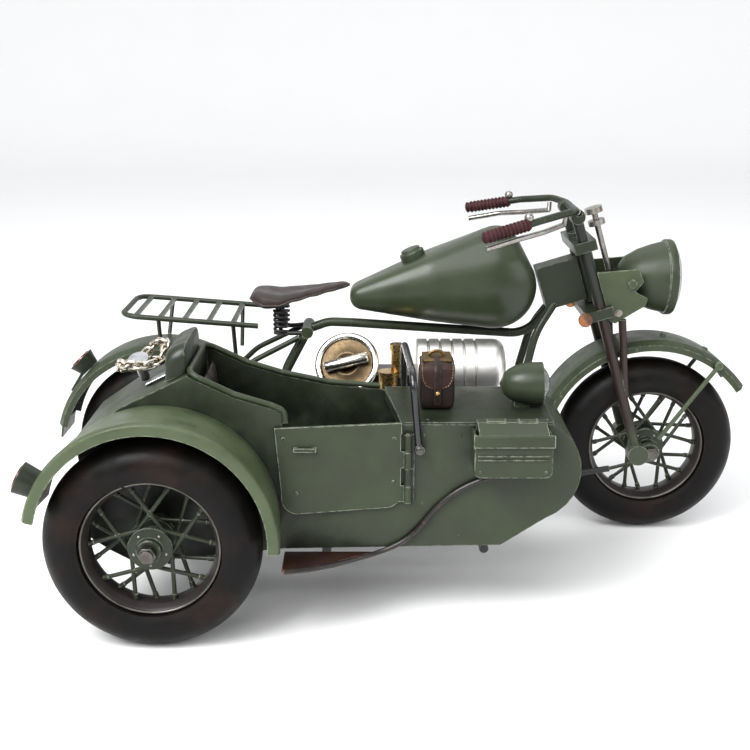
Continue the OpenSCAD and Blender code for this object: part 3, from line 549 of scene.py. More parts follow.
def cad_copy(*nodes):
    """One clean mesh of some CAD nodes: doubles merged and flat faces joined."""
    bm = bmesh.new()
    for node in nodes:
        bm.from_mesh(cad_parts[node].data)
    bmesh.ops.remove_doubles(bm, verts=bm.verts, dist=2e-6)
    bmesh.ops.dissolve_limit(bm, angle_limit=math.radians(0.8), verts=bm.verts, edges=bm.edges)
    for face in bm.faces:
        face.smooth = True
    mesh = bpy.data.meshes.new("_".join(nodes))
    bm.to_mesh(mesh)
    bm.free()
    return mesh


def only(mesh, test):
    """Keeps the faces whose middle passes a test."""
    bm = bmesh.new()
    bm.from_mesh(mesh)
    bmesh.ops.delete(bm, geom=[f for f in bm.faces if not test(f.calc_center_median())], context="FACES")
    bm.to_mesh(mesh)
    bm.free()
    return mesh


def cut_corners(points, rounds=3):
    """A polyline with its corners cut again and again until it runs smoothly."""
    for _ in range(rounds):
        inner = [p.lerp(q, t) for p, q in zip(points, points[1:]) for t in (0.25, 0.75)]
        points = [points[0], *inner[1:-1], points[-1]]
    return points


def pressed(name, nodes, finish, body, rounding=None, angle=32.0, test=None):
    """CAD nodes as one piece of sheet metal with softly rounded edges."""
    trim = bpy.context.scene.moto_trim
    copy = cad_copy(*nodes)
    mesh = modified(only(copy, test) if test else copy, name, [
        ("BEVEL", {
            "width": rounding or trim.edge_round, "segments": 2, "limit_method": "ANGLE",
            "angle_limit": math.radians(angle), "use_clamp_overlap": True, "miter_outer": "MITER_ARC",
        }),
        ("WEIGHTED_NORMAL", {"keep_sharp": False, "weight": 60}),
    ])
    mesh.shade_smooth()
    return link_piece(name, mesh, finish, body, nodes, sharp=None)


def cad_finish(nodes, finish):
    """Gives CAD nodes that keep their own shape a better material."""
    for node in nodes:
        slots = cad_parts[node].material_slots
        for entry in slots:
            entry.material = MATERIALS[finish]
        if not slots:
            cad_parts[node].data.materials.append(MATERIALS[finish])


def eased(knots, x):
    """A smooth value at x through (x, value) knots."""
    for (x0, v0), (x1, v1) in zip(knots, knots[1:]):
        if x <= x1:
            t = max(0.0, (x - x0) / (x1 - x0))
            return v0 + (v1 - v0) * t * t * (3 - 2 * t)
    return knots[-1][1]


# ---- geometry node trees ----


def start_tree(name, inputs):
    """A Geometry Nodes tree with named inputs and a geometry in and out."""
    sockets = [("Geometry", "Geometry", None), *inputs, ("Material", "Material", None)]
    tree, entry, leave = start_group(name, "GeometryNodeTree", sockets, [("Geometry", "Geometry")])
    tree.is_modifier = True
    return tree, entry.outputs, leave


def end_tree(tree, entry, leave, shape):
    """Every tree ends the same way: real geometry, smooth, with its material."""
    real = wire(tree, "GeometryNodeRealizeInstances", {0: shape}).outputs[0]
    smooth = wire(tree, "GeometryNodeSetShadeSmooth", {0: real}).outputs[0]
    coated = wire(tree, "GeometryNodeSetMaterial", {"Geometry": smooth, "Material": entry["Material"]})
    tree.links.new(coated.outputs[0], leave.inputs[0])
    return tree


def placed_on(tree, points, instance, facing, axis="Z", scale=(1, 1, 1), spin=None):
    """Instances on points, with an axis turned to face a direction."""
    turn = wire(tree, "FunctionNodeAlignRotationToVector", {"Vector": facing}, axis=axis).outputs[0]
    if spin is not None:
        turn = wire(tree, "FunctionNodeRotateRotation", {0: turn, 1: spin}, rotation_space="LOCAL").outputs[0]
    return wire(
        tree, "GeometryNodeInstanceOnPoints",
        {"Points": points, "Instance": instance, "Rotation": turn, "Scale": scale},
    ).outputs[0]


def spokes_tree():
    """Crossed spokes between a hub and a rim, about the Y axis."""
    tree, entry, leave = start_tree("Crossed Spokes", [
        ("Spokes", "Int", 10), ("Hub Radius", "Float", 0.0074), ("Rim Radius", "Float", 0.0232),
        ("Hub Offset", "Float", 0.004), ("Rim Offset", "Float", 0.0014), ("Twist", "Float", 1.08),
        ("Spoke Radius", "Float", 0.0008),
    ])
    index = tree.nodes.new("GeometryNodeInputIndex").outputs[0]
    total = maths(tree, "MULTIPLY", entry["Spokes"], 2.0)
    step = maths(tree, "DIVIDE", math.pi, entry["Spokes"])
    angle = maths(tree, "MULTIPLY", index, step)
    side = maths(tree, "SUBTRACT", maths(tree, "MULTIPLY", maths(tree, "MODULO", index, 2.0), 2.0), 1.0)
    pair = maths(tree, "MODULO", maths(tree, "FLOOR", maths(tree, "DIVIDE", index, 2.0)), 2.0)
    turn = maths(tree, "SUBTRACT", 1.0, maths(tree, "MULTIPLY", pair, 2.0))
    lean = maths(tree, "MULTIPLY", turn, entry["Twist"])

    def spoke_end(turned, radius, offset):
        x = maths(tree, "MULTIPLY", radius, maths(tree, "COSINE", turned))
        z = maths(tree, "MULTIPLY", radius, maths(tree, "SINE", turned))
        y = maths(tree, "MULTIPLY", side, offset)
        return wire(tree, "ShaderNodeCombineXYZ", {0: x, 1: y, 2: z}).outputs[0]

    hub_end = spoke_end(maths(tree, "ADD", angle, lean), entry["Hub Radius"], entry["Hub Offset"])
    rim_end = spoke_end(angle, entry["Rim Radius"], entry["Rim Offset"])
    way = wire(tree, "ShaderNodeVectorMath", {0: rim_end, 1: hub_end}, operation="SUBTRACT").outputs[0]
    length = wire(tree, "ShaderNodeVectorMath", {0: way}, operation="LENGTH").outputs["Value"]
    points = wire(tree, "GeometryNodePoints", {"Count": total, "Position": hub_end}).outputs[0]
    rod = wire(
        tree, "GeometryNodeMeshCylinder", {"Vertices": 12, "Radius": entry["Spoke Radius"], "Depth": 1.0}
    ).outputs[0]
    nipple = wire(tree, "GeometryNodeMeshCylinder", {
        "Vertices": 8, "Radius": maths(tree, "MULTIPLY", entry["Spoke Radius"], 1.35), "Depth": 0.09,
    }).outputs[0]
    lifted = wire(tree, "GeometryNodeTransform", {0: rod, "Translation": (0, 0, 0.5)}).outputs[0]
    at_rim = wire(tree, "GeometryNodeTransform", {0: nipple, "Translation": (0, 0, 0.93)}).outputs[0]
    both = tree.nodes.new("GeometryNodeJoinGeometry")
    for part in (lifted, at_rim):
        tree.links.new(part, both.inputs[0])
    scale = wire(tree, "ShaderNodeCombineXYZ", {0: 1.0, 1: 1.0, 2: length}).outputs[0]
    return end_tree(tree, entry, leave, placed_on(tree, points, both.outputs[0], way, scale=scale))


def studs_tree():
    """A round or hexagonal head on every point, facing the way its 'facing' attribute says."""
    tree, entry, leave = start_tree("Studs", [
        ("Radius", "Float", 0.0008), ("Height", "Float", 0.0004), ("Hexagonal", "Bool", False),
    ])
    facing = wire(
        tree, "GeometryNodeInputNamedAttribute", {"Name": "facing"}, data_type="FLOAT_VECTOR",
    ).outputs[0]
    dome = wire(
        tree, "GeometryNodeMeshUVSphere", {"Segments": 14, "Rings": 8, "Radius": entry["Radius"]}
    ).outputs[0]
    flat = maths(tree, "DIVIDE", entry["Height"], entry["Radius"])
    dome = wire(tree, "GeometryNodeTransform", {
        0: dome, "Scale": wire(tree, "ShaderNodeCombineXYZ", {0: 1.0, 1: 1.0, 2: flat}).outputs[0],
    }).outputs[0]
    nut = wire(tree, "GeometryNodeMeshCylinder", {
        "Vertices": 6, "Radius": entry["Radius"], "Depth": maths(tree, "MULTIPLY", entry["Height"], 2.0),
    }).outputs[0]
    washer = wire(tree, "GeometryNodeMeshCylinder", {
        "Vertices": 18, "Radius": maths(tree, "MULTIPLY", entry["Radius"], 1.3),
        "Depth": maths(tree, "MULTIPLY", entry["Height"], 0.5),
    }).outputs[0]
    both = tree.nodes.new("GeometryNodeJoinGeometry")
    for part in (nut, washer):
        tree.links.new(part, both.inputs[0])
    head = wire(
        tree, "GeometryNodeSwitch",
        {"Switch": entry["Hexagonal"], "False": dome, "True": both.outputs[0]}, input_type="GEOMETRY",
    ).outputs[0]
    return end_tree(tree, entry, leave, placed_on(tree, entry["Geometry"], head, facing))


def links_tree():
    """Oval wire links along a closed line, each turned a quarter from the last."""
    tree, entry, leave = start_tree("Chain Links", [
        ("Links", "Int", 18), ("Length", "Float", 0.0056), ("Width", "Float", 0.0038),
        ("Wire Radius", "Float", 0.0006), ("Seed", "Int", 3),
    ])
    line = wire(tree, "GeometryNodeMeshToCurve", {0: entry["Geometry"]}).outputs[0]
    spaced = wire(tree, "GeometryNodeResampleCurve", {"Curve": line, "Count": entry["Links"]}).outputs[0]
    oval = wire(
        tree, "GeometryNodeCurvePrimitiveQuadrilateral", {"Width": entry["Length"], "Height": entry["Width"]}
    ).outputs[0]
    oval = wire(tree, "GeometryNodeFilletCurve", {
        "Curve": oval, "Radius": maths(tree, "MULTIPLY", entry["Width"], 0.49),
        "Limit Radius": True, "Count": 6,
    }, mode="POLY").outputs[0]
    round_wire = wire(
        tree, "GeometryNodeCurvePrimitiveCircle", {"Resolution": 10, "Radius": entry["Wire Radius"]}
    ).outputs[0]
    link = wire(tree, "GeometryNodeCurveToMesh", {"Curve": oval, "Profile Curve": round_wire}).outputs[0]
    tangent = tree.nodes.new("GeometryNodeInputTangent").outputs[0]
    index = tree.nodes.new("GeometryNodeInputIndex").outputs[0]
    loose = wire(tree, "FunctionNodeRandomValue", {2: -0.3, 3: 0.3, "Seed": entry["Seed"]}, data_type="FLOAT")
    quarter = maths(tree, "MULTIPLY", maths(tree, "MODULO", index, 2.0), math.pi / 2)
    roll = maths(tree, "ADD", maths(tree, "ADD", quarter, loose.outputs[1]), 0.5)
    spin = wire(tree, "ShaderNodeCombineXYZ", {0: roll}).outputs[0]
    spin = wire(tree, "FunctionNodeEulerToRotation", {0: spin}).outputs[0]
    return end_tree(tree, entry, leave, placed_on(tree, spaced, link, tangent, axis="X", spin=spin))


def coils_tree():
    """An upright coil spring standing on every point."""
    tree, entry, leave = start_tree("Coil Springs", [
        ("Turns", "Float", 4.5), ("Coil Radius", "Float", 0.0026), ("Height", "Float", 0.008),
        ("Wire Radius", "Float", 0.0006),
    ])
    spiral = wire(tree, "GeometryNodeCurveSpiral", {
        "Resolution": 28, "Rotations": entry["Turns"], "Start Radius": entry["Coil Radius"],
        "End Radius": entry["Coil Radius"], "Height": entry["Height"],
    }).outputs[0]
    round_wire = wire(
        tree, "GeometryNodeCurvePrimitiveCircle", {"Resolution": 10, "Radius": entry["Wire Radius"]}
    ).outputs[0]
    coil = wire(
        tree, "GeometryNodeCurveToMesh", {"Curve": spiral, "Profile Curve": round_wire, "Fill Caps": True}
    ).outputs[0]
    stood = wire(tree, "GeometryNodeInstanceOnPoints", {"Points": entry["Geometry"], "Instance": coil})
    return end_tree(tree, entry, leave, stood.outputs[0])


def ribs_tree():
    """Rounded rings spaced along a line, as on a rubber grip."""
    tree, entry, leave = start_tree("Ribs", [
        ("Count", "Int", 12), ("Ring Radius", "Float", 0.0023), ("Rib Radius", "Float", 0.0006),
    ])
    line = wire(tree, "GeometryNodeMeshToCurve", {0: entry["Geometry"]}).outputs[0]
    spaced = wire(tree, "GeometryNodeResampleCurve", {"Curve": line, "Count": entry["Count"]}).outputs[0]
    ring = wire(
        tree, "GeometryNodeCurvePrimitiveCircle", {"Resolution": 28, "Radius": entry["Ring Radius"]}
    ).outputs[0]
    bead = wire(
        tree, "GeometryNodeCurvePrimitiveCircle", {"Resolution": 8, "Radius": entry["Rib Radius"]}
    ).outputs[0]
    rib = wire(tree, "GeometryNodeCurveToMesh", {"Curve": ring, "Profile Curve": bead}).outputs[0]
    tangent = tree.nodes.new("GeometryNodeInputTangent").outputs[0]
    return end_tree(tree, entry, leave, placed_on(tree, spaced, rib, tangent))


def stitches_tree():
    """Short stitches lying end to end along a line."""
    tree, entry, leave = start_tree("Stitches", [
        ("Spacing", "Float", 0.0011), ("Stitch Length", "Float", 0.0008), ("Thread Radius", "Float", 0.00014),
    ])
    line = wire(tree, "GeometryNodeMeshToCurve", {0: entry["Geometry"]}).outputs[0]
    spaced = wire(
        tree, "GeometryNodeResampleCurve", {"Curve": line, "Length": entry["Spacing"]}, mode="LENGTH"
    ).outputs[0]
    bead = wire(tree, "GeometryNodeMeshIcoSphere", {"Radius": 1.0, "Subdivisions": 2}).outputs[0]
    size = wire(tree, "ShaderNodeCombineXYZ", {
        0: maths(tree, "MULTIPLY", entry["Stitch Length"], 0.5),
        1: entry["Thread Radius"], 2: entry["Thread Radius"],
    }).outputs[0]
    tangent = tree.nodes.new("GeometryNodeInputTangent").outputs[0]
    return end_tree(tree, entry, leave, placed_on(tree, spaced, bead, tangent, axis="X", scale=size))


TREE_MAKERS = {
    "Crossed Spokes": spokes_tree,
    "Studs": studs_tree,
    "Chain Links": links_tree,
    "Coil Springs": coils_tree,
    "Ribs": ribs_tree,
    "Stitches": stitches_tree,
}


def grown(name, tree_name, host_mesh, finish, inputs):
    """Runs a tree on a small host mesh and returns the plain mesh it makes."""
    tree = bpy.data.node_groups.get(tree_name) or TREE_MAKERS[tree_name]()
    host = bpy.data.objects.new(name + "_host", host_mesh)
    bpy.context.scene.collection.objects.link(host)
    modifier = host.modifiers.new(tree_name, "NODES")
    modifier.node_group = tree
    for socket in tree.interface.items_tree:
        if socket.item_type == "SOCKET" and socket.in_out == "INPUT":
            if socket.name == "Material":
                modifier[socket.identifier] = MATERIALS[finish]
            elif socket.name in inputs:
                modifier[socket.identifier] = inputs[socket.name]
    graph = bpy.context.evaluated_depsgraph_get()
    result = bpy.data.meshes.new_from_object(host.evaluated_get(graph), depsgraph=graph)
    result.name = name
    bpy.data.objects.remove(host)
    return result


def host_points(places, facings=None):
    """A host mesh of loose points, with the way each one faces."""
    mesh = bpy.data.meshes.new("host")
    mesh.from_pydata([tuple(p) for p in places], [], [])
    if facings:
        attribute = mesh.attributes.new("facing", "FLOAT_VECTOR", "POINT")
        attribute.data.foreach_set("vector", [c for f in facings for c in f])
    return mesh


def host_lines(lines, closed=False):
    """A host mesh of polylines."""
    mesh = bpy.data.meshes.new("host")
    points, edges = [], []
    for line in lines:
        start = len(points)
        points += [tuple(p) for p in line]
        edges += [(start + i, start + i + 1) for i in range(len(line) - 1)]
        if closed:
            edges.append((start + len(line) - 1, start))
    mesh.from_pydata(points, edges, [])
    return mesh


def studs(name, places, facing, finish, body, radius, height, hexagonal=False):
    """Rivets or bolt heads. facing is one direction or one for each place."""
    facings = facing if isinstance(facing, list) else [facing] * len(places)
    mesh = grown(name, "Studs", host_points(places, facings), finish,
                 {"Radius": radius * MM, "Height": height * MM, "Hexagonal": hexagonal})
    return link_piece(name, mesh, None, body, sharp=30.0 if hexagonal else None)


LEFT, RIGHT, UP = Vector((0, 1, 0)), Vector((0, -1, 0)), Vector((0, 0, 1))

# ---- operators ----


class MOTO_OT_finishes(bpy.types.Operator):
    """Make the paints, metals, rubber, leather and glass"""

    bl_idname = "moto.finishes"
    bl_label = "Finishes"

    def execute(self, context):
        paint = context.scene.moto_paint
        wheel = context.scene.moto_wheels
        body, shade, rubbed = paint.body, paint.shade, paint.rubbed
        chipped = [c * 1.3 for c in rubbed]

        def olive(name, strength, edge=rubbed, **settings):
            """The body paint, lighter or darker: the light copies are painted highlight, and the dark deck
            and shaded copies are painted shade.
            """
            return painted(name, [c * strength for c in body], shade, edge, **settings)

        MATERIALS.update({
            "green": painted("Olive Sheet Paint", body, shade, rubbed),
            "green_dark": olive("Olive Shaded Paint", 0.6, wear=0.8),
            # A lighter copy of the body paint: painted highlight.
            "green_painted_highlight": olive("Olive Painted Highlight Paint", 1.6, wear=1.6),
            "green_rubbed": olive("Olive Rubbed Paint", 0.95, chipped, wear=1.7),
            # A darker copy of the body paint for the deck plate: painted shade.
            "deck": olive("Deck Paint with Painted Shade", 0.55, wear=1.5),
            # A much lighter copy of the body paint for the sidecar's fender: painted highlight.
            "fender": olive("Fender Paint with Painted Highlight", 2.0, chipped, wear=1.4),
            # Strong, far-reaching painted shade: the cockpit's inside and the wall by the fender darken
            # toward an extra-dark shade colour.
            "tub": painted("Tub Paint with Painted Shade", body, [c * 0.5 for c in shade], rubbed, shade_and_dirt=1.25, reach=0.055),
            "tank": painted("Tank Paint", body, shade, rubbed, wear=0.6, rough=(0.3, 0.46), coat=0.25,
                            broad=40.0),
            "rod": painted("Worn Black Rod", (0.012, 0.010, 0.009), (0.004, 0.003, 0.003),
                           (0.30, 0.14, 0.08), wear=1.8, rough=(0.25, 0.42), coat=0.3),
            "black": painted("Chassis Black", (0.016, 0.017, 0.016), (0.004, 0.004, 0.004),
                             (0.16, 0.15, 0.13)),
            "hoop": painted("Gloss Black", (0.008, 0.008, 0.009), (0.002, 0.002, 0.002),
                            (0.3, 0.3, 0.3), wear=0.7, rough=(0.1, 0.24), coat=0.7),
            "cast": painted("Cast Casing", (0.032, 0.033, 0.032), (0.006, 0.006, 0.006),
                            (0.3, 0.29, 0.27), wear=1.4, rough=(0.34, 0.6)),
            "copper": painted("Copper Brown", (0.026, 0.010, 0.0065), (0.006, 0.003, 0.002),
                              (0.36, 0.18, 0.11), wear=1.5, rough=(0.3, 0.5), coat=0.3),
            "rim": painted("Rim Paint", (0.018, 0.014, 0.013), (0.004, 0.003, 0.003),
                           (0.2, 0.12, 0.09), wear=1.1),
            "leg": fork_leg_material("Fork Leg Paint", paint),
            "dish": bare_metal("Dark Brass", (0.10, 0.072, 0.040), (0.03, 0.02, 0.014), (0.3, 0.5)),
            "dark_steel": bare_metal("Dark Steel", (0.16, 0.155, 0.14), (0.05, 0.035, 0.025),
                                     (0.28, 0.46)),
            "bright": bare_metal("Bright Plating", (0.80, 0.79, 0.76), (0.55, 0.46, 0.34),
                                 (0.12, 0.28)),
            "turned": bare_metal("Turned Metal", (0.93, 0.92, 0.90), (0.72, 0.68, 0.62), (0.32, 0.48),
                                 stretch=(1.0, 1.0, 6.0)),
            "steel": bare_metal("Plain Steel", (0.40, 0.39, 0.37), (0.20, 0.14, 0.09), (0.24, 0.44)),
            "brass": bare_metal("Brass", (0.72, 0.50, 0.21), (0.33, 0.17, 0.06), (0.2, 0.38)),
            "old_brass": bare_metal("Old Brass", (0.30, 0.205, 0.095), (0.12, 0.07, 0.03),
                                    (0.26, 0.44)),
            "chain": bare_metal("Chain Wire", (0.78, 0.73, 0.62), (0.35, 0.28, 0.18), (0.22, 0.4)),
            "cap": bare_metal("Grey Cap", (0.62, 0.64, 0.66), (0.3, 0.3, 0.3), (0.3, 0.5), scale=300.0),
            "rubber": rubber_material("Tyre Rubber", paint.rubber, paint.rust, wheel.wear),
            "grip": rubber_material("Grip Rubber", (0.030, 0.010, 0.011), (0.13, 0.055, 0.052), 0.5),
            "bag": leather_material("Bag Leather", paint.leather, (0.10, 0.050, 0.034)),
            "flap": leather_material("Flap Leather", (0.028, 0.0100, 0.0072), (0.16, 0.075, 0.050)),
            "saddle": leather_material("Saddle Leather", paint.saddle, (0.12, 0.09, 0.08), 1200.0),
            "seat": leather_material("Seat Leather", (0.022, 0.017, 0.015), (0.12, 0.09, 0.07)),
            "thread": leather_material("Waxed Thread", (0.30, 0.22, 0.13), (0.4, 0.3, 0.2), 4000.0),
            "clear": glass_material("Clear Lens", (0.93, 0.95, 0.94)),
            # The red lens glows faintly though no lamp is lit: painted light.
            "red": glass_material("Red Lens", (0.50, 0.015, 0.008), 0.1, 0.05),
            "amber": glass_material("Amber Lens", (0.42, 0.13, 0.012), 0.14),
        })
        return {"FINISHED"}


class MOTO_OT_wheels(bpy.types.Operator):
    """Build the three wheels: tyre, rim with its bead wires, crossed spokes and dished hub"""

    bl_idname = "moto.wheels"
    bl_label = "Wheels"

    def execute(self, context):
        settings = context.scene.moto_wheels
        for wheel in ("sidecar", "rear", "front"):
            self.tyre(wheel, settings)
            self.rim(wheel)
            self.spokes(wheel, settings)
            self.hub(wheel)
        return {"FINISHED"}

    def tyre(self, wheel, settings):
        lo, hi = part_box(wheel + "_tyre")
        outer = (hi.z - lo.z) / 2 / MM
        half = (hi.y - lo.y) / 2 / MM - 0.06
        mid_radius = outer - half - 0.12
        bead = 26.02
        profile = []
        cut = math.acos((bead - mid_radius) / half)
        for k in range(45):
            a = -cut + 2 * cut * k / 44
            swell = 0.10 * math.exp(-((a / 0.05) ** 2)) - 0.16 * math.exp(-(((abs(a) - 2.02) / 0.05) ** 2))
            profile.append((mid_radius + (half + swell) * math.cos(a), (half + swell) * math.sin(a)))
        shape = Shape()
        shape.lathe(profile, along_y((lo + hi) / 2), steps=144, ring=True)
        centre = (lo + hi) / 2
        for p in shape.points:
            ripple = noise.noise(p * 190) * settings.tyre_ripple
            p += (p - centre).normalized() * min(0.0, ripple)
        body = wheel + "_wheel"
        link_piece(body + "_tyre", shape.mesh(body + "_tyre"), "rubber", body, [wheel + "_tyre"], 60)

    def rim(self, wheel):
        """A rolled channel, with a bead wire on each edge whose ends meet in a joint."""
        place = along_y(middle(wheel + "_rim"))
        body = wheel + "_wheel"
        half = [(25.95, 5.8), (25.4, 5.95), (24.7, 5.5), (24.2, 4.4), (23.3, 3.1), (23.02, 2.2)]
        channel = [(25.95, -5.8), *half, *[(r, -y) for r, y in reversed(half[1:])]]
        shape = Shape()
        shape.lathe(channel, place, steps=120, ring=True)
        link_piece(body + "_rim", shape.mesh(body + "_rim"), "rim", body, [wheel + "_rim"], 50)
        wires = Shape()
        joint = 0.022
        for side in (-1, 1):
            path = []
            for k in range(97):
                a = -1.2 + side * 0.7 + joint + (2 * math.pi - 2 * joint) * k / 96
                path.append(place @ (Vector((25.2 * math.cos(a), 25.2 * math.sin(a), side * 6.0)) * MM))
            wires.tube(path, 0.00062, 10)
        link_piece(body + "_bead_wires", wires.mesh("wires"), "dark_steel", body)

    def spokes(self, wheel, settings):
        body = wheel + "_wheel"
        name = body + "_spokes"
        mesh = grown(name, "Crossed Spokes", host_points([(0, 0, 0)]), "green_dark",
                     {"Spokes": settings.spokes, "Spoke Radius": settings.spoke_radius})
        mesh.transform(Matrix.Translation(middle(wheel + "_spokes")))
        link_piece(name, mesh, None, body, [wheel + "_spokes"], 50)

    def hub(self, wheel):
        """A boss with two dished flange discs, rolled at their edges."""
        place = along_y(middle(wheel + "_hub"))
        body = wheel + "_wheel"
        half = [(2.06, 9.4), (4.2, 9.4), (4.55, 9.1), (4.6, 7.9), (4.9, 7.2), (6.3, 6.75), (7.1, 6.4),
                (7.7, 6.4), (8.1, 6.1), (8.1, 5.2), (7.7, 4.95), (7.55, 4.9), (7.55, 3.1), (4.7, 3.0)]
        profile = half + [(r, -y) for r, y in reversed(half)]
        shape = Shape()
        shape.lathe(profile, place, steps=56, ring=True)
        link_piece(body + "_hub", shape.mesh("hub"), "green_dark", body, [wheel + "_hub"], 38)
        places, facings = [], []
        for side in (-1, 1):
            for k in range(5):
                a = 2 * math.pi * k / 5 + 0.3
                places.append(place @ (Vector((6.1 * math.cos(a), 6.1 * math.sin(a), side * 6.8)) * MM))
                facings.append(LEFT * side)
        studs(body + "_hub_rivets", places, facings, "steel", body, 0.55, 0.35)


class MOTO_OT_axles(bpy.types.Operator):
    """Finish the axles and their nuts"""

    bl_idname = "moto.axles"
    bl_label = "Axles"

    def execute(self, context):
        pressed("chassis_axles", ["fixed_axles"], "dark_steel", "chassis", 0.00015)
        pressed("steering_axle", ["front_axle"], "dark_steel", "steering", 0.00015)
        return {"FINISHED"}


class MOTO_OT_fork(bpy.types.Operator):
    """Build the fork: yokes with their bolts, and painted legs"""

    bl_idname = "moto.fork"
    bl_label = "Fork"

    def execute(self, context):
        pressed("fork_yokes", ["fork_crown"], "green_dark", "steering")
        pressed("fork_tubes", ["fork_legs"], "leg", "steering", 0.0002)
        pinch = [on_bike(176.6, side * 13.4, 101.2) for side in (-1, 1)]
        studs("fork_pinch_bolts", pinch, Vector((0.96, 0, 0.28)), "steel", "steering",
              1.1, 0.8, True)
        return {"FINISHED"}


class MOTO_OT_handlebar(bpy.types.Operator):
    """Finish the bar and its levers, and build the ribbed grips"""

    bl_idname = "moto.handlebar"
    bl_label = "Handlebar"

    def execute(self, context):
        cad_finish(["handlebar"], "green_dark")
        cad_finish(["control_levers"], "steel")
        sleeves, lines = Shape(), []
        for side in (-1, 1):
            tip = on_bike(123.8, side * 44.2, 140.3)
            root = on_bike(142.2, side * 35.8, 144.3)
            along = (tip - root).normalized()
            sleeves.tube([root + (tip - root) * k / 6 for k in range(7)],
                         [0.0022, 0.0021, 0.0021, 0.0021, 0.0021, 0.0022, 0.0021], 20)
            end = [tip + along * 0.0004 * k for k in range(3)]
            sleeves.tube([tip - along * 0.0002, *end], [0.0024, 0.0025, 0.0021, 0.0012], 20)
            lines.append([root + (tip - root) * 0.05, root + (tip - root) * 0.9])
        link_piece("grip_sleeves", sleeves.mesh("grip_sleeves"), "grip", "steering",
                   ["grips"], 50)
        ribs = grown("grip_ribs", "Ribs", host_lines(lines), "grip",
                     {"Count": 11, "Ring Radius": 0.0021, "Rib Radius": 0.00055})
        link_piece("grip_ribs", ribs, None, "steering", sharp=None)
        return {"FINISHED"}


class MOTO_OT_headlamp(bpy.types.Operator):
    """Build the headlamp: bowl, rim, reflector, lens and bracket plates"""

    bl_idname = "moto.headlamp"
    bl_label = "Headlamp"

    def execute(self, context):
        lo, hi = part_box("headlamp_shell")
        centre = Vector((0, (lo.y + hi.y) / 2, (lo.z + hi.z) / 2))
        place = along_x(centre)
        x0, x1 = lo.x / MM, hi.x / MM
        bowl = [(0.01, 0), (3.2, 0.1), (5.6, 0.7), (9.2, 3.4), (12.3, 9.0), (14.2, 14.6), (15.2, 18.6),
                (15.5, 19.8), (16.1, 20.0), (16.4, 20.6)]
        lip = [(16.4, 0.8), (16.0, 0.1), (15.2, 0.02), (14.7, 0.5), (14.7, 1.8)]
        inside = [(13.9, 16.0), (11.3, 9.4), (8.2, 4.6), (5.0, 1.9), (0.01, 1.3)]
        outer = [(r, x0 + x) for r, x in bowl] + [(r, x1 - x) for r, x in lip]
        outer += [(r, x0 + x) for r, x in inside]
        shell = Shape()
        shell.lathe(outer, place, steps=88)
        link_piece("headlamp_bowl", shell.mesh("headlamp_bowl"), "green_rubbed", "steering",
                   ["headlamp_shell"], 38)
        x2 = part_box("headlamp_lens")[0].x / MM
        mirror = Shape()
        mirror.lathe([(14.5, x2 - 0.2), (13.4, x0 + 16.2), (10.8, x0 + 9.8), (7.6, x0 + 5.3), (4.2, x0 + 2.8),
                      (1.4, x0 + 2.6), (1.2, x0 + 5.6), (0.6, x0 + 6.8), (0.01, x0 + 7.0)], place, steps=64)
        link_piece("headlamp_reflector", thickened(mirror, "headlamp_reflector"), "bright", "steering",
                   sharp=40)
        x3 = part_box("headlamp_lens")[1].x / MM
        glass = Shape()
        dome = [(max(14.4 * math.sin(t), 0.01), x3 - 0.02 - (x3 - x2 - 0.7) * (1 - math.cos(t)))
                for t in (math.pi / 2 * k / 12 for k in range(12))]
        back = [(0.01, x2 + 0.1), (13.9, x2 + 0.1), (14.45, x2 + 0.25)]
        glass.lathe([*back, *reversed(dome)], place, steps=72)
        link_piece("headlamp_glass", glass.mesh("headlamp_glass"), "clear", "steering",
                   ["headlamp_lens"], 45)
        pressed("headlamp_plates", ["headlamp_brackets"], "green_painted_highlight", "steering", 0.0002)
        places = [on_bike(x, side * 15.95, z) for side in (-1, 1) for x, z in ((189.6, 116), (184.4, 103.4))]
        facings = [LEFT * side for side in (-1, -1, 1, 1)]
        studs("headlamp_bolts", places, facings, "steel", "steering", 1.25, 0.7, True)
        pressed("fork_reflectors", ["side_reflectors"], "amber", "steering", 0.0003)
        return {"FINISHED"}


def thickened(shape, name):
    """A thin turned sheet given a little thickness, as a closed mesh."""
    return modified(shape.mesh(name), name, [("SOLIDIFY", {"thickness": 0.0002, "offset": 0.0})])


class MOTO_OT_front_fender(bpy.types.Operator):
    """Build the front fender with its stays"""

    bl_idname = "moto.front_fender"
    bl_label = "Front Fender"

    def execute(self, context):
        pressed("front_fender_sheet", ["front_fender"], "green", "steering", 0.0002)
        pressed("front_fender_stays", ["fender_stays"], "green_painted_highlight", "steering", 0.00015)
        wheel = middle("front_tyre")
        places, facings = [], []
        for side in (-1, 1):
            for a in (54, 100, 148):
                r = 46.9 * MM
                places.append(wheel + Vector((r * math.cos(math.radians(a)), side * 12.32 * MM,
                                              r * math.sin(math.radians(a)))))
                facings.append(LEFT * side)
        studs("front_fender_rivets", places, facings, "green_painted_highlight", "steering", 0.8, 0.4)
        return {"FINISHED"}


class MOTO_OT_frame_tubes(bpy.types.Operator):
    """Finish the frame tubes and the steering head"""

    bl_idname = "moto.frame_tubes"
    bl_label = "Frame Tubes"

    def execute(self, context):
        pressed("head_box", ["steering_head"], "green_dark", "chassis")
        cad_finish(["top_tube"], "green")
        cad_finish(["down_tubes", "seat_tubes", "rear_stays", "cradle_rails"], "green_dark")
        cad_finish(["link_tubes"], "black")
        return {"FINISHED"}


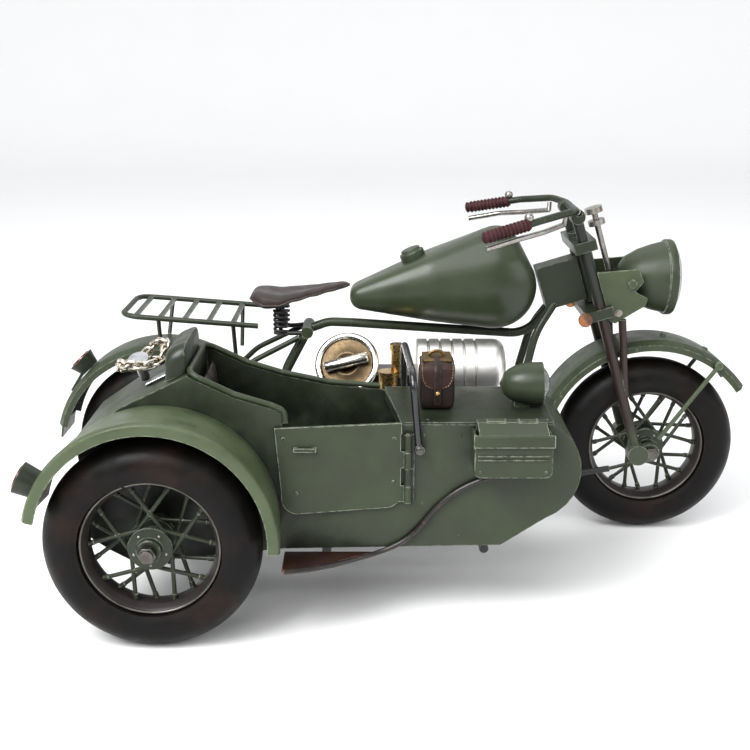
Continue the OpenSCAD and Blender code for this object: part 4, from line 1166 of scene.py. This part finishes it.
class MOTO_OT_engine(bpy.types.Operator):
    """Build the engine: casing, bright grooved barrel, round cover and carburettor"""

    bl_idname = "moto.engine"
    bl_label = "Engine"

    def execute(self, context):
        pressed("engine_casing", ["crankcase"], "cast", "chassis", 0.0006)
        lo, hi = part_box("engine_barrel")
        centre = Vector((0, (lo.y + hi.y) / 2, (lo.z + hi.z) / 2))
        r = (hi.z - lo.z) / 2 / MM - 0.02
        x0, x1 = lo.x / MM, hi.x / MM
        profile = [(0.01, x0), (r - 1.4, x0), (r - 0.5, x0 + 0.2), (r, x0 + 0.8)]
        for k in range(5):
            x = x0 + 4.6 + 5 * k
            groove = ((0, 0), (0.25, 0.15), (0.9, 0.3), (0.9, 0.9), (0.25, 1.05), (0, 1.2))
            profile += [(r - depth, x + along) for depth, along in groove]
        for k in range(9):
            a = math.pi / 2 * k / 8
            profile.append((r - 5 + 5 * math.cos(a), x1 - 5 + 5 * math.sin(a)))
        profile += [(4.2, x1), (3.8, x1 - 0.5), (0.01, x1 - 0.5)]
        barrel = Shape()
        barrel.lathe(profile, along_x(centre), steps=96)
        link_piece("engine_drum", barrel.mesh("engine_drum"), "turned", "chassis",
                   ["engine_barrel"], 40)
        self.cover()
        cad_finish(["carburettor"], "brass")
        return {"FINISHED"}

    def cover(self):
        """A bright ring and bar over a dark dish."""
        place = (Matrix.Translation(on_bike(68.5, -19.5, 82)) @ Matrix.Rotation(math.radians(-14), 4, "Y")
                 @ Matrix.Rotation(math.radians(58), 4, "X"))
        ring = [(12.4 + 1.5 * math.cos(a), 1.5 * math.sin(a)) for a in (math.pi * k / 10 for k in range(20))]
        bright, dish = Shape(), Shape()
        bright.lathe(ring, place, steps=72, ring=True)
        bright.tube([place @ (Vector((x, 0, 2.6)) * MM) for x in (-9.6, -9.4, -9, 0, 9, 9.4, 9.6)],
                    [0.0014, 0.0021, 0.0024, 0.0024, 0.0024, 0.0021, 0.0014], 20)
        link_piece("cover_ring", bright.mesh("cover_ring"), "bright", "chassis",
                   ["gearbox_cover"], 40)
        dish.lathe([(0.01, -0.4), (3.2, -0.3), (4.4, 0.5), (5.4, 0.5), (6.6, -0.2), (11.6, 0.1), (11.2, -1.2),
                    (8.5, -3.0), (0.01, -3.0)], place, steps=56)
        link_piece("cover_dish", dish.mesh("cover_dish"), "dish", "chassis", sharp=36)


class MOTO_OT_fuel_tank(bpy.types.Operator):
    """Build the tank as one smooth shell, and its cap"""

    bl_idname = "moto.fuel_tank"
    bl_label = "Fuel Tank"

    def execute(self, context):
        mesh = modified(cad_copy("fuel_tank"), "tank_shell", [
            ("REMESH", {"mode": "VOXEL", "voxel_size": 0.0009}),
            ("SMOOTH", {"factor": 0.5, "iterations": 8}),
        ])
        link_piece("tank_shell", mesh, "tank", "chassis", ["fuel_tank"], None)
        mesh.shade_smooth()
        pressed("tank_filler", ["tank_cap"], "green", "chassis", 0.0005)
        return {"FINISHED"}


class MOTO_OT_saddle(bpy.types.Operator):
    """Build the sprung saddle: dished leather top, rolled edge, coil springs"""

    bl_idname = "moto.saddle"
    bl_label = "Saddle"

    half_width = [(26.6, 7.0), (29, 10.6), (33, 13.2), (39, 13.5), (46, 11.2), (54, 7.6), (61, 4.7),
                  (67, 2.7), (69.2, 1.4)]
    top = [(26.6, 109.6), (29, 111.2), (33, 111.0), (39, 110.2), (46, 110.9), (54, 112.0), (61, 113.2),
           (67, 114.0), (69.2, 113.4)]
    bottom = [(26.6, 106.8), (29, 104.4), (33, 103.0), (39, 103.6), (46, 106.2), (54, 107.9), (61, 109.6),
              (67, 111.0), (69.2, 112.0)]

    def execute(self, context):
        loops, rim = [], [[], []]
        for i in range(31):
            x = 26.6 + (69.2 - 26.6) * i / 30
            half = eased(self.half_width, x)
            top, bottom = eased(self.top, x), eased(self.bottom, x)
            loop = []
            for k in range(32):
                a = 2 * math.pi * k / 32
                c, s = math.cos(a), math.sin(a)
                y = half * math.copysign(abs(c) ** 0.62, c)
                z = (top + bottom) / 2 + (top - bottom) / 2 * math.copysign(abs(s) ** 0.7, s)
                depth, spread = (0.9, 0.45) if s > 0 else (-0.7, 0.6)
                dish = depth * math.exp(-(y / (spread * half)) ** 2)
                loop.append(on_bike(x, y, z - dish * min(1.0, half / 8)))
            loops.append(loop)
            for side in (-1, 1):
                edge = on_bike(x, side * half * 0.985, (top + 2 * bottom) / 3 + 0.2)
                rim[0 if side < 0 else 1].append(edge)
        shape = Shape()
        shape.rings(loops)
        mesh = modified(shape.mesh("saddle_top"), "saddle_top", [
            ("SUBSURF", {"levels": 1, "render_levels": 1}),
        ])
        saddle = link_piece("saddle_top", mesh, "saddle", "chassis", ["saddle"], None)
        mesh.shade_smooth()
        piping = Shape()
        piping.tube(rim[0][::-1] + rim[1], 0.00045, 8, closed=True)
        link_piece("saddle_piping", piping.mesh("saddle_piping"), "seat", "chassis",
                   sharp=None)
        feet = [on_bike(39.4, side * 6.6, 93.3) for side in (-1, 1)]
        coils = grown("saddle_coils", "Coil Springs", host_points(feet), "black",
                      {"Turns": 4.5, "Coil Radius": 0.0027, "Height": 0.0092, "Wire Radius": 0.00062})
        link_piece("saddle_coils", coils, None, "chassis", ["saddle_springs"], None)
        posts = Shape()
        for side in (-1, 1):
            for profile in ([(0.01, 92.3), (3.2, 92.3), (3.2, 93.2), (0.01, 93.3)],
                            [(0.01, 101.6), (3.0, 101.7), (3.0, 102.6), (1.0, 102.8), (0.01, 104.6)],
                            [(0.01, 93.0), (0.9, 93.0), (0.9, 102.4), (0.01, 102.4)]):
                posts.lathe(profile, Matrix.Translation(on_bike(39.4, side * 6.6, 0)), steps=28)
            route = ((39.4, 6.6, 92.7), (44, 7.4, 92.5), (48.6, 8.0, 92.8))
            arm = [on_bike(x, side * y, z) for x, y, z in route]
            posts.tube(arm, 0.0010, 12)
        link_piece("saddle_posts", posts.mesh("saddle_posts"), "black", "chassis", sharp=40)
        return {"FINISHED"}


class MOTO_OT_luggage_rack(bpy.types.Operator):
    """Finish the luggage rack and add its weld beads"""

    bl_idname = "moto.luggage_rack"
    bl_label = "Luggage Rack"

    def execute(self, context):
        cad_finish(["luggage_rack"], "green_dark")
        places, facings = [], []
        for k in range(5):
            x = -21.1 + 10.3 * k
            for side in (-1, 1):
                places.append(on_bike(x, side * 19.3, 101.2 - 0.079 * x + 0.35))
                facings.append(UP)
        studs("rack_weld_beads", places, facings, "green", "chassis", 1.3, 0.5)
        return {"FINISHED"}


class MOTO_OT_rear_fender(bpy.types.Operator):
    """Build the rear fender with its lamp, and the glasses of all the small lamps"""

    bl_idname = "moto.rear_fender"
    bl_label = "Rear Fender"

    def execute(self, context):
        pressed("rear_fender_sheet", ["rear_fender"], "green", "chassis", 0.0002)
        pressed("tail_lamp_body", ["tail_lamp"], "green_dark", "chassis", 0.0002)
        front = at(60, 0, 0).x
        pressed("red_glasses", ["lamp_lenses"], "red", "chassis", 0.0003,
                test=lambda p: p.x < front)
        pressed("deck_lamp_glass", ["lamp_lenses"], "clear", "chassis", 0.0003,
                test=lambda p: p.x > front)
        return {"FINISHED"}


class MOTO_OT_sidecar_body(bpy.types.Operator):
    """Build the sidecar's body: sheet tub, deck, rim wire and rivets"""

    bl_idname = "moto.sidecar_body"
    bl_label = "Sidecar Body"

    def execute(self, context):
        pressed("tub_shell", ["tub"], "tub", "chassis", 0.0003)
        pressed("deck_plate", ["front_deck"], "deck", "chassis", 0.00025)
        cad_finish(["coaming_bead"], "green_rubbed")
        places, facings = [], []
        for x in (100, 144.4):
            for y in (19, 59):
                places.append(at(x, y, 80.44))
                facings.append(UP)
        for x, z in ((98.5, 75.4), (112, 75.4), (112, 35.6), (30, 42.6), (98.4, 48.6)):
            places.append(at(x, 15.98, z))
            facings.append(RIGHT)
        studs("tub_rivets", places, facings, "green", "chassis", 0.55, 0.3)
        return {"FINISHED"}


class MOTO_OT_sidecar_fender(bpy.types.Operator):
    """Build the sidecar's fender with its lamp"""

    bl_idname = "moto.sidecar_fender"
    bl_label = "Sidecar Fender"

    def execute(self, context):
        pressed("sidecar_fender_sheet", ["sidecar_fender"], "fender", "chassis", 0.0002)
        pressed("fender_lamp_body", ["fender_lamp"], "green_dark", "chassis", 0.0003)
        return {"FINISHED"}


def cushion_mesh(name, lo, hi, crown, channels, pinch=0.9):
    """A stuffed cushion in the box from lo to hi, mm: crowned, pinched, with sewn channels."""
    shape = Shape()
    n = 26
    grid = {}
    size = [h - low for low, h in zip(lo, hi)]
    for side in (1, -1):
        for i in range(n + 1):
            for j in range(n + 1):
                u, v = 2 * i / n - 1, 2 * j / n - 1
                edge = (1 - abs(u) ** 5) * (1 - abs(v) ** 5)
                pull_u = 1 - pinch / size[0] * (1 - v * v) * 2
                pull_v = 1 - pinch / size[1] * (1 - u * u) * 2
                groove = sum(math.exp(-((v - c) / 0.055) ** 2) for c in channels) if side > 0 else 0.0
                rise = max(0.0, edge) ** 0.42 * (1 - 0.42 * groove)
                z = (hi[2] + lo[2]) / 2 + side * size[2] / 2 * (rise if side > 0 else max(0.0, edge) ** 0.25)
                if side > 0:
                    z -= crown * (u * u + v * v) / 2
                x = (hi[0] + lo[0]) / 2 + u * pull_u * size[0] / 2
                y = (hi[1] + lo[1]) / 2 + v * pull_v * size[1] / 2
                grid[side, i, j] = len(shape.points)
                shape.points.append(Vector((x, y, z)) * MM)
    for side in (1, -1):
        for i in range(n):
            for j in range(n):
                corners = ((i, j), (i + 1, j), (i + 1, j + 1), (i, j + 1))
                quad = [grid[side, a, b] for a, b in corners]
                shape.faces.append(quad if side > 0 else quad[::-1])
    return shape.mesh(name, merge=2e-5)


class MOTO_OT_sidecar_seat(bpy.types.Operator):
    """Build the sidecar's cushion, backrest and the rounded headrest behind it"""

    bl_idname = "moto.sidecar_seat"
    bl_label = "Sidecar Seat"

    def execute(self, context):
        channels = (-0.5, 0.0, 0.5)
        seat = cushion_mesh("seat_cushion", (20.2, 21.2, 33.2), (51.8, 56.8, 45.8), 1.4, channels)
        seat.transform(Matrix.Translation(at(0, 0, 0)))
        cushion = link_piece("seat_cushion", seat, "seat", "chassis", ["sidecar_seat"], None)
        seat.shade_smooth()
        back = cushion_mesh("seat_back", (0, 22.2, 0), (47.0, 55.8, 4.9), 0.6, channels, 0.7)
        back.transform(Matrix.Translation(at(14.25, 0, 46.4)) @ Matrix.Rotation(math.radians(-90), 4, "Y")
                       @ Matrix.Scale(-1, 4, (0, 0, 1)))
        back.flip_normals()
        rest = link_piece("seat_back", back, "seat", "chassis", sharp=None)
        back.shade_smooth()
        self.headrest()
        lines = []
        for c in channels:
            y = (21.2 + 56.8) / 2 + c * 17.4
            line = [(23.5 + 25 * k / 12, 44.5 - 0.55 * abs(k / 6 - 1) ** 2) for k in range(13)]
            lines.append([at(x, y + 0.45, z) for x, z in line])
        stitches = grown("seat_stitches", "Stitches", host_lines(lines), "thread",
                         {"Spacing": context.scene.moto_trim.stitch_gap})
        link_piece("seat_stitches", stitches, None, "chassis", sharp=None)
        return {"FINISHED"}

    def headrest(self):
        """A pressed hood with rounded corners on the rear deck."""
        loops = []
        sections = ((3.3, 1.6), (3.9, 0.7), (4.8, 0.25), (6.5, 0.0), (9.5, 0.0), (10.8, 0.3), (11.3, 1.0))
        for x, inset in sections:
            low = 94.2 + (x - 3.2) * 0.46
            high = 105.3 + (x - 3.2) * 0.42 - inset
            half, corner = 17.4 - inset, 5.6
            loop = [at(x, 38 - half, low), at(x, 38 + half, low)]
            for c, start in ((1, 0), (-1, 90)):
                for k in range(9):
                    a = math.radians(start + 90 * k / 8)
                    loop.append(at(x, 38 + c * (half - corner) + corner * math.cos(a),
                                   high - corner + corner * math.sin(a)))
            loops.append(loop)
        shape = Shape()
        shape.rings(loops)
        link_piece("headrest_hood", shape.mesh("headrest_hood"), "green_dark", "chassis",
                   sharp=48)


class MOTO_OT_door(bpy.types.Operator):
    """Build the sidecar's door with its rivets, and the fixed hinge leaves"""

    bl_idname = "moto.door"
    bl_label = "Door"

    def execute(self, context):
        pressed("door_panel", ["door"], "green_rubbed", "door", 0.0002)
        pressed("hinge_leaves", ["hinges"], "green_dark", "chassis", 0.00012)
        radius = context.scene.moto_trim.rivet_radius / MM
        places = [at(x, 14.58, z) for x, z in ((87.6, 74.6), (46.9, 74.4), (51.2, 53.0), (87.4, 57.6))]
        studs("door_rivets", places, RIGHT, "green_rubbed", "door", radius, 0.35)
        return {"FINISHED"}


class MOTO_OT_toolbox(bpy.types.Operator):
    """Build the side toolbox, its pressed groove and its lid"""

    bl_idname = "moto.toolbox"
    bl_label = "Toolbox"

    def execute(self, context):
        pressed("toolbox_body", ["toolbox"], "green_rubbed", "chassis", 0.0003)
        pressed("toolbox_lid_sheet", ["toolbox_lid"], "green_rubbed", "toolbox_lid", 0.0002)
        groove = Shape()
        for z in (70.0, 71.5):
            route = ((117.6, 4.0), (118.4, 3.86), (130.4, 3.84), (142.4, 3.86), (143.3, 4.0))
            groove.tube([at(x, y, z) for x, y in route], 0.00032, 10)
        link_piece("toolbox_ribs", groove.mesh("toolbox_ribs"), "green", "chassis", sharp=None)
        places = [at(x, 3.98, 65.4) for x in (118.6, 142.2)]
        studs("toolbox_rivets", places, RIGHT, "green_painted_highlight", "chassis", 0.6, 0.3)
        return {"FINISHED"}


class MOTO_OT_bag(bpy.types.Operator):
    """Build the leather tool bag: sagging body, stitched flap, strap with a stud, brass plate and handle"""

    bl_idname = "moto.bag"
    bl_label = "Tool Bag"

    def execute(self, context):
        self.x0, self.x1 = 97.0, 111.0
        body = self.body_mesh()
        bag = link_piece("bag_body", body, "bag", "chassis", ["bag"], None)
        body.shade_smooth()
        self.flap(context)
        self.hardware()
        return {"FINISHED"}

    def outline(self, grow, top=98.4, low=80.55):
        """The bag's arched outline across X, mm, anticlockwise."""
        x0, x1, r = self.x0 - grow, self.x1 + grow, 5.2
        points = [(x0 + 1.2, low), ((x0 + x1) / 2, low), (x1 - 1.2, low), (x1 - 0.2, low + 1.0)]
        points += [(x1 + 0.15, low + 5), (x1, low + 9)]
        for k in range(9):
            a = math.radians(90 * k / 8)
            points.append((x1 - r + r * math.cos(a), top + grow - r + r * math.sin(a)))
        points.append(((x0 + x1) / 2, top + grow + 0.1))
        for k in range(9):
            a = math.radians(90 + 90 * k / 8)
            points.append((x0 + r + r * math.cos(a), top + grow - r + r * math.sin(a)))
        points += [(x0, low + 9), (x0 - 0.15, low + 5), (x0 + 0.2, low + 1.0)]
        return points

    def body_mesh(self):
        shape = Shape()
        loops = []
        sections = (
            (30.0, 2.2), (30.1, 1.2), (30.45, 0.5), (31.2, 0.1), (33, 0.0), (36, 0.15), (39, 0.25),
            (42, 0.15), (45, 0.0), (46.8, 0.1), (47.55, 0.5), (47.9, 1.2), (48.0, 2.2),
        )
        mid = ((self.x0 + self.x1) / 2, 89.5)
        for y, shrink in sections:
            loop = []
            for x, z in self.outline(-0.35):
                away = Vector((x - mid[0], z - mid[1]))
                pull = 1 - shrink / max(away.length, 1.0)
                loop.append(at(mid[0] + away.x * pull, y, max(80.5, mid[1] + away.y * pull)))
            loops.append(loop)
        shape.rings(loops)
        return modified(shape.mesh("bag_body"), "bag_body", [("SUBSURF", {"levels": 1, "render_levels": 1})])

    def flap(self, context):
        """A flap hinged at the back, over the top and down the near side to a rounded edge."""
        rows = []
        path = [(46.5, 98.35), (43, 98.75), (39, 98.8), (35, 98.75), (32, 98.55), (30.4, 97.7), (29.75, 96.2),
                (29.6, 94), (29.55, 91.8), (29.6, 89.8), (29.7, 88.6)]
        for i, (y, z) in enumerate(path):
            t = max(0.0, (i - 6) / (len(path) - 7))
            half = 6.6 * math.sqrt(max(0.02, 1 - t ** 2.4)) if t else 6.6
            row = []
            for k in range(13):
                u = 2 * k / 12 - 1
                droop = 1.35 * abs(u) ** 3 if i < 6 else 0.0
                row.append(at(104 + u * half, y + (0.3 * abs(u) ** 3 if i >= 6 else 0.0), z - droop))
            rows.append(row)
        shape = Shape()
        points = [p for row in rows for p in row]
        faces = [[i * 13 + k, i * 13 + k + 1, (i + 1) * 13 + k + 1, (i + 1) * 13 + k]
                 for i in range(len(rows) - 1) for k in range(12)]
        shape.add(points, faces)
        mesh = modified(shape.mesh("bag_flap"), "bag_flap", [
            ("SOLIDIFY", {"thickness": 0.0007, "offset": 0.0}),
            ("SUBSURF", {"levels": 2, "render_levels": 2}),
        ])
        link_piece("bag_flap", mesh, "flap", "chassis", sharp=None)
        mesh.shade_smooth()
        edge = [row[0].lerp(row[1], 0.75) for row in rows[1:]] + [p for p in rows[-1][1:-1]]
        edge += [row[-1].lerp(row[-2], 0.75) for row in rows[1:][::-1]]
        lifted = [p + Vector((0, -0.00042, 0.00042)) for p in edge]
        stitches = grown("bag_stitches", "Stitches", host_lines([lifted]), "thread",
                         {"Spacing": context.scene.moto_trim.stitch_gap})
        link_piece("bag_stitches", stitches, None, "chassis", sharp=None)

    def hardware(self):
        strap = Shape()
        loops = []
        route = ((36, 99.25), (33, 99.2), (30.6, 98.6), (29.25, 97), (29.05, 94), (29.0, 90), (29.05, 86),
                 (29.3, 83.2))
        for y, z in route:
            away = Vector((0, -1, 0)) if z < 96 else Vector((0, -0.3, 1)).normalized()
            loops.append([at(104 + dx, y, z) + away * d * MM for dx, d in
                          ((-1.2, 0), (1.2, 0), (1.2, 0.35), (0.9, 0.5), (-0.9, 0.5), (-1.2, 0.35))])
        strap.rings(loops)
        link_piece("bag_strap", strap.mesh("bag_strap"), "bag", "chassis", sharp=50)
        studs("bag_stud", [at(104, 28.6, 87.4)], RIGHT, "brass", "chassis", 1.0, 0.6)
        plate = Shape()
        outline = [(98.8, 33), (109.2, 33), (109.6, 33.6), (109.6, 44.4), (109.2, 45), (98.8, 45),
                   (98.4, 44.4), (98.4, 33.6)]
        plate.plate(outline, 0.7, Matrix.Translation(at(0, 0, 98.9)))
        link_piece("bag_plate", plate.mesh("bag_plate"), "old_brass", "chassis", sharp=30)
        handle = Shape()
        path = [at(100.9 + 6.2 * t, 39, 99.6 + 1.9 * math.sin(math.pi * t) ** 0.6)
                for t in (k / 12 for k in range(13))]
        handle.tube(path, 0.00062, 12)
        link_piece("bag_handle", handle.mesh("bag_handle"), "old_brass", "chassis", sharp=None)


class MOTO_OT_grab_hoop(bpy.types.Operator):
    """Finish the black grab hoop and its foot rivet"""

    bl_idname = "moto.grab_hoop"
    bl_label = "Grab Hoop"

    def execute(self, context):
        cad_finish(["grab_hoop"], "hoop")
        studs("hoop_rivet", [at(97, 12.52, 70.6)], RIGHT, "dark_steel", "chassis", 1.5, 0.6)
        return {"FINISHED"}


class MOTO_OT_deck_lamp(bpy.types.Operator):
    """Build the bullet lamp on the deck"""

    bl_idname = "moto.deck_lamp"
    bl_label = "Deck Lamp"

    def execute(self, context):
        pressed("deck_lamp_body", ["deck_lamp"], "green", "chassis", 0.0003)
        return {"FINISHED"}


class MOTO_OT_chain(bpy.types.Operator):
    """Build the loop of oval chain links round its capped post"""

    bl_idname = "moto.chain"
    bl_label = "Chain"

    def execute(self, context):
        lo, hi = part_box("chain")
        centre = (lo + hi) / 2
        loop = []
        for k in range(72):
            a = 2 * math.pi * k / 72
            loop.append(centre + Vector((
                8.4 * math.cos(a) + 0.6 * math.cos(3 * a), 10.4 * math.sin(a) + 0.5 * math.sin(4 * a),
                2.2 * math.sin(2 * a) + 3.4 * math.cos(a),
            )) * MM)
        mesh = grown("chain_links", "Chain Links", host_lines([loop], closed=True), "chain",
                     {"Links": context.scene.moto_trim.chain_links, "Length": 0.0053, "Width": 0.0038,
                      "Wire Radius": 0.00068})
        link_piece("chain_links", mesh, None, "chassis", ["chain"], None)
        pressed("chain_post_cap", ["chain_post"], "cap", "chassis", 0.0004)
        return {"FINISHED"}


class MOTO_OT_footboard(bpy.types.Operator):
    """Finish the copper-brown footboard and its worn edge rod"""

    bl_idname = "moto.footboard"
    bl_label = "Footboard"

    def execute(self, context):
        edge = [(47, -1.4), (56, 0.6), (64, 4), (80, 14)]
        plate = Shape()
        plate.plate([(x - 0.7, y + 1.1) for x, y in edge] + [(79.3, 15.85), (46.3, 15.85)], 1.0,
                    Matrix.Translation(at(0, 0, 28)))
        mesh = modified(plate.mesh("footboard_plate"), "footboard_plate", [
            ("BEVEL", {"width": 0.0002, "segments": 2, "limit_method": "ANGLE"})])
        link_piece("footboard_plate", mesh, "copper", "chassis", ["footboard"], 35)
        path = [at(x, y, 28.6) for x, y in edge]
        rising = ((90, 32.4), (96.5, 38), (103, 47), (111, 54), (120, 58.4), (128, 60))
        path += [at(x, 14.9, z) for x, z in rising]
        rod = Shape()
        rod.tube(cut_corners(path), 0.00098, 14)
        link_piece("footboard_rod", rod.mesh("footboard_rod"), "rod", "chassis", sharp=60)
        return {"FINISHED"}


class MOTO_OT_stage(bpy.types.Operator):
    """Set the pale floor and backdrop, the soft studio light and the camera"""

    bl_idname = "moto.stage"
    bl_label = "Stage"

    camera_place = (-0.01118, -0.45483, 0.21364)
    camera_tilt = 73.95
    camera_lens = 55.2

    def execute(self, context):
        scene = context.scene
        self.floor(scene)
        self.lights(scene)
        camera = bpy.data.cameras.new("studio_camera")
        camera.lens = self.camera_lens
        camera.sensor_width = 36.0
        holder = bpy.data.objects.new("studio_camera", camera)
        holder.location = self.camera_place
        holder.rotation_euler = (math.radians(self.camera_tilt), 0.0, 0.0)
        scene.collection.objects.link(holder)
        scene.camera = holder
        scene.view_settings.view_transform = "Standard"
        return {"FINISHED"}

    def floor(self, scene):
        """A floor that curves up into a backdrop."""
        material, tree, shader = new_material("Pale Floor", roughness=0.8, specular_ior_level=0.1)
        cloud = object_noise(tree, 6.0, 3.0)
        pale = mixed(tree, cloud, (0.84, 0.84, 0.84), (0.87, 0.87, 0.87))
        tree.links.new(pale, shader.inputs["Base Color"])
        half, back, bend, steps = 6.0, 1.6, 0.8, 16
        profile = [(-half, 0.0)]
        for k in range(steps + 1):
            a = math.pi / 2 * k / steps
            profile.append((back + bend * math.sin(a), bend - bend * math.cos(a)))
        profile.append((back + bend, 4.0))
        shape = Shape()
        shape.add([(x, y, z) for y, z in profile for x in (-half, half)],
                  [[2 * i, 2 * i + 1, 2 * i + 3, 2 * i + 2] for i in range(len(profile) - 1)])
        mesh = shape.mesh("studio_floor")
        mesh.shade_smooth()
        mesh.materials.append(material)
        floor = bpy.data.objects.new("studio_floor", mesh)
        scene.collection.objects.link(floor)

    def lights(self, scene):
        world = bpy.data.worlds.new("studio_world")
        world.use_nodes = True
        world.node_tree.nodes["Background"].inputs[0].default_value = (0.95, 0.97, 1.0, 1.0)
        world.node_tree.nodes["Background"].inputs[1].default_value = 0.34
        scene.world = world
        aim = Vector((0.0, 0.0, 0.06))
        for name, place, size, watts in (
            ("key_light", (-0.45, -0.45, 0.70), 0.45, 8.0),
            ("fill_light", (0.75, -0.45, 0.5), 0.7, 3.0),
            ("top_light", (0.0, 0.30, 0.90), 0.9, 3.0),
        ):
            light = bpy.data.lights.new(name, "AREA")
            light.size = size
            light.energy = watts
            holder = bpy.data.objects.new(name, light)
            holder.location = place
            holder.rotation_euler = (aim - Vector(place)).to_track_quat("-Z", "Y").to_euler()
            scene.collection.objects.link(holder)
        sun = bpy.data.lights.new("even_light", "SUN")
        sun.energy = 1.9
        sun.angle = math.radians(50)
        holder = bpy.data.objects.new("even_light", sun)
        holder.rotation_euler = (math.radians(42), 0.0, math.radians(-22))
        scene.collection.objects.link(holder)


OPERATORS = (
    MOTO_OT_finishes, MOTO_OT_wheels, MOTO_OT_axles, MOTO_OT_fork, MOTO_OT_handlebar, MOTO_OT_headlamp,
    MOTO_OT_front_fender, MOTO_OT_frame_tubes, MOTO_OT_engine, MOTO_OT_fuel_tank, MOTO_OT_saddle,
    MOTO_OT_luggage_rack, MOTO_OT_rear_fender, MOTO_OT_sidecar_body, MOTO_OT_sidecar_fender,
    MOTO_OT_sidecar_seat, MOTO_OT_door, MOTO_OT_toolbox, MOTO_OT_bag, MOTO_OT_grab_hoop, MOTO_OT_deck_lamp,
    MOTO_OT_chain, MOTO_OT_footboard, MOTO_OT_stage,
)


class MOTO_PT_panel(bpy.types.Panel):
    """The pieces of the model motorcycle, in building order"""

    bl_idname = "MOTO_PT_panel"
    bl_label = "Model Motorcycle"
    bl_space_type = "VIEW_3D"
    bl_region_type = "UI"
    bl_category = "Motorcycle"

    def draw(self, context):
        for settings in (context.scene.moto_wheels, context.scene.moto_paint, context.scene.moto_trim):
            box = self.layout.box()
            for name in settings.__annotations__:
                box.prop(settings, name)
        for operator in OPERATORS:
            self.layout.operator(operator.bl_idname)


SETTINGS = {"moto_wheels": WheelSettings, "moto_paint": PaintSettings, "moto_trim": TrimSettings}


def register():
    for group in SETTINGS.values():
        bpy.utils.register_class(group)
    for name, group in SETTINGS.items():
        setattr(bpy.types.Scene, name, PointerProperty(type=group))
    for operator in OPERATORS:
        bpy.utils.register_class(operator)
    bpy.utils.register_class(MOTO_PT_panel)


def unregister():
    bpy.utils.unregister_class(MOTO_PT_panel)
    for operator in reversed(OPERATORS):
        bpy.utils.unregister_class(operator)
    for name, group in SETTINGS.items():
        delattr(bpy.types.Scene, name)
        bpy.utils.unregister_class(group)


def main():
    """Builds every piece in order."""
    register()
    for operator in OPERATORS:
        group, name = operator.bl_idname.split(".")
        getattr(getattr(bpy.ops, group), name)()
    bpy.context.view_layer.update()


if __name__ == "__main__":
    main()
